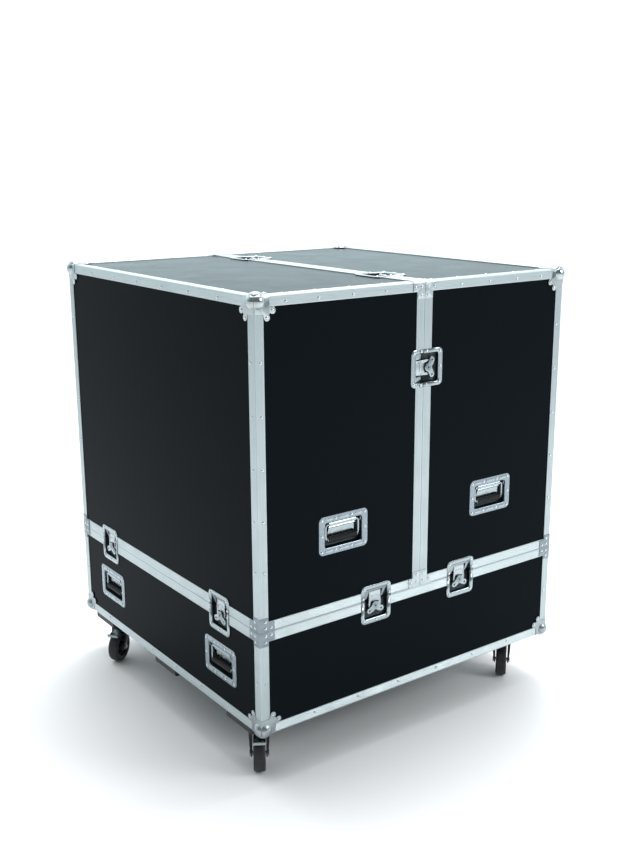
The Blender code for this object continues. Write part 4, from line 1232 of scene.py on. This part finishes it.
# %% Casters on the case
for name in caster_names:
    at, _, _ = caster_axes(name)
    centre = at @ shift(TRAIL, 0, -AXLE_DROP)
    plate_at = axes_at(Vector((*at.translation.xy, BOARD_LOW)), X, -Y, -Z)
    piece(f"{name}_top_plate", moved(plate_set, plate_at), zinc_latch, "tray",
          [f"{'front' if at.translation.y < 0 else 'back'}_runner"])
    piece(f"{name}_fork", moved(fork, at), coated_steel, f"{name}_caster_fork",
          [f"{name}_caster_fork"])
    piece(f"{name}_axle", moved(axle, at), zinc_dish, f"{name}_caster_fork",
          [f"{name}_caster_fork"])
    piece(f"{name}_tread", moved(tread, centre), tread_rubber, f"{name}_caster_wheel",
          [f"{name}_caster_wheel"])
    piece(f"{name}_hub", moved(hub, centre), hub_nylon, f"{name}_caster_wheel",
          [f"{name}_caster_wheel"])
    if f"{name}_brake" in joints:
        pin = axes_at(pivot(f"{name}_brake"), *[Vector(at.col[i][:3]) for i in range(3)])
        piece(f"{name}_pedal", moved(pedal, pin), zinc_dish, f"{name}_caster_pedal",
              [f"{name}_caster_pedal"])
print("casters fitted:", len(caster_names))

# %% [markdown]
# ## Floor, light and camera
# The case stands on a plain pale floor in soft studio light. A large soft box in front and to
# the right lights the front, and another hangs overhead. The dome round them is pale and
# plain. It is brightest behind the case, like a lit white wall, so that the lid mirrors it at
# a grazing angle while the upright panels stay near black. Its lowest band is slightly blue,
# which is the part that the lid mirrors.

# %% Floor
FLOOR_HALF = 30                          # metres from the middle to an edge
floor_form = bmesh.new()
bmesh.ops.create_grid(floor_form, x_segments=8, y_segments=8, size=FLOOR_HALF)
floor_mesh = written(floor_form, "studio_floor")
pale, tree, shader = finish("floor_pale_matt", "#f6f8f9", 0.0, 0.75)
shade = node(tree, "ShaderNodeTexNoise", {"Vector": own_place(tree), "Scale": per(900), "Detail": 2.0})
roughen(tree, shader, shade.outputs[0], (0, 1), (0.7, 0.8))
floor_mesh.materials.append(pale)
studio_floor = bpy.data.objects.new("studio_floor", floor_mesh)
bpy.context.scene.collection.objects.link(studio_floor)
print("floor", pale.name)

# %% Dome and lamps
WHITE_WALL = (0.57, 0.78, 0.26)          # towards the lit wall, behind and to the right
DIM, BRIGHT = 0.30, 2.0                  # the dome's light away from the wall and towards it
sky = bpy.data.worlds.new("studio_dome")
bpy.context.scene.world = sky
sky.use_nodes = True
tree = sky.node_tree
way = node(tree, "ShaderNodeTexCoord").outputs["Generated"]
level = node(tree, "ShaderNodeSeparateXYZ", {0: way}).outputs["Z"]
height = node(tree, "ShaderNodeMapRange", {"Value": level, "From Min": 0.12, "From Max": 0.35})
shade = node(tree, "ShaderNodeMix", {0: height.outputs[0], 6: linear("#d3ebf2"), 7: linear("#fbfdfe")},
             data_type="RGBA")
tree.links.new(shade.outputs[2], tree.nodes["Background"].inputs["Color"])
towards = node(tree, "ShaderNodeVectorMath", {0: way, 1: WHITE_WALL}, operation="DOT_PRODUCT")
strength = node(tree, "ShaderNodeMapRange", {"Value": towards.outputs["Value"], "From Min": -0.5,
                                             "From Max": 0.9, "To Min": DIM, "To Max": BRIGHT},
                interpolation_type="SMOOTHSTEP")
tree.links.new(strength.outputs[0], tree.nodes["Background"].inputs["Strength"])


def soft_box(name, place, target, size, watts):
    lamp = bpy.data.lights.new(name, "AREA")
    lamp.shape = "RECTANGLE"
    lamp.size, lamp.size_y = size
    lamp.energy = watts
    box = bpy.data.objects.new(name, lamp)
    box.matrix_world = (Matrix.Translation(place)
                        @ (Vector(target) - Vector(place)).to_track_quat("-Z", "Y").to_matrix().to_4x4())
    bpy.context.scene.collection.objects.link(box)


soft_box("key_front_right", (3.0, -4.4, 3.0), (0, 0, 0.6), (2.0, 2.0), 100)
soft_box("overhead", (0.6, 0.6, 4.6), (0, 0, 1.0), (2.6, 2.6), 190)
scene = bpy.context.scene
scene.view_settings.view_transform = "Standard"

# %% Camera
HEADING = 36.27                          # degrees from +Y towards +X
PITCH = 13.99                            # degrees below level
ROLL = -0.004                            # radians
CAMERA_AT = (-1.93468, -2.69764, 1.64274)
FOCAL = 45.1                             # millimetres, on a sensor 36 mm wide
lens = bpy.data.cameras.new("studio_camera")
lens.sensor_width = 36.0
lens.lens = FOCAL
camera = bpy.data.objects.new("studio_camera", lens)
camera.matrix_world = (Matrix.Translation(CAMERA_AT)
                       @ Matrix.Rotation(math.radians(-HEADING), 4, "Z")
                       @ Matrix.Rotation(math.radians(90 - PITCH), 4, "X")
                       @ Matrix.Rotation(ROLL, 4, "Z"))
scene.collection.objects.link(camera)
scene.camera = camera
print("camera looks along", HEADING, "degrees,", PITCH, "degrees down")
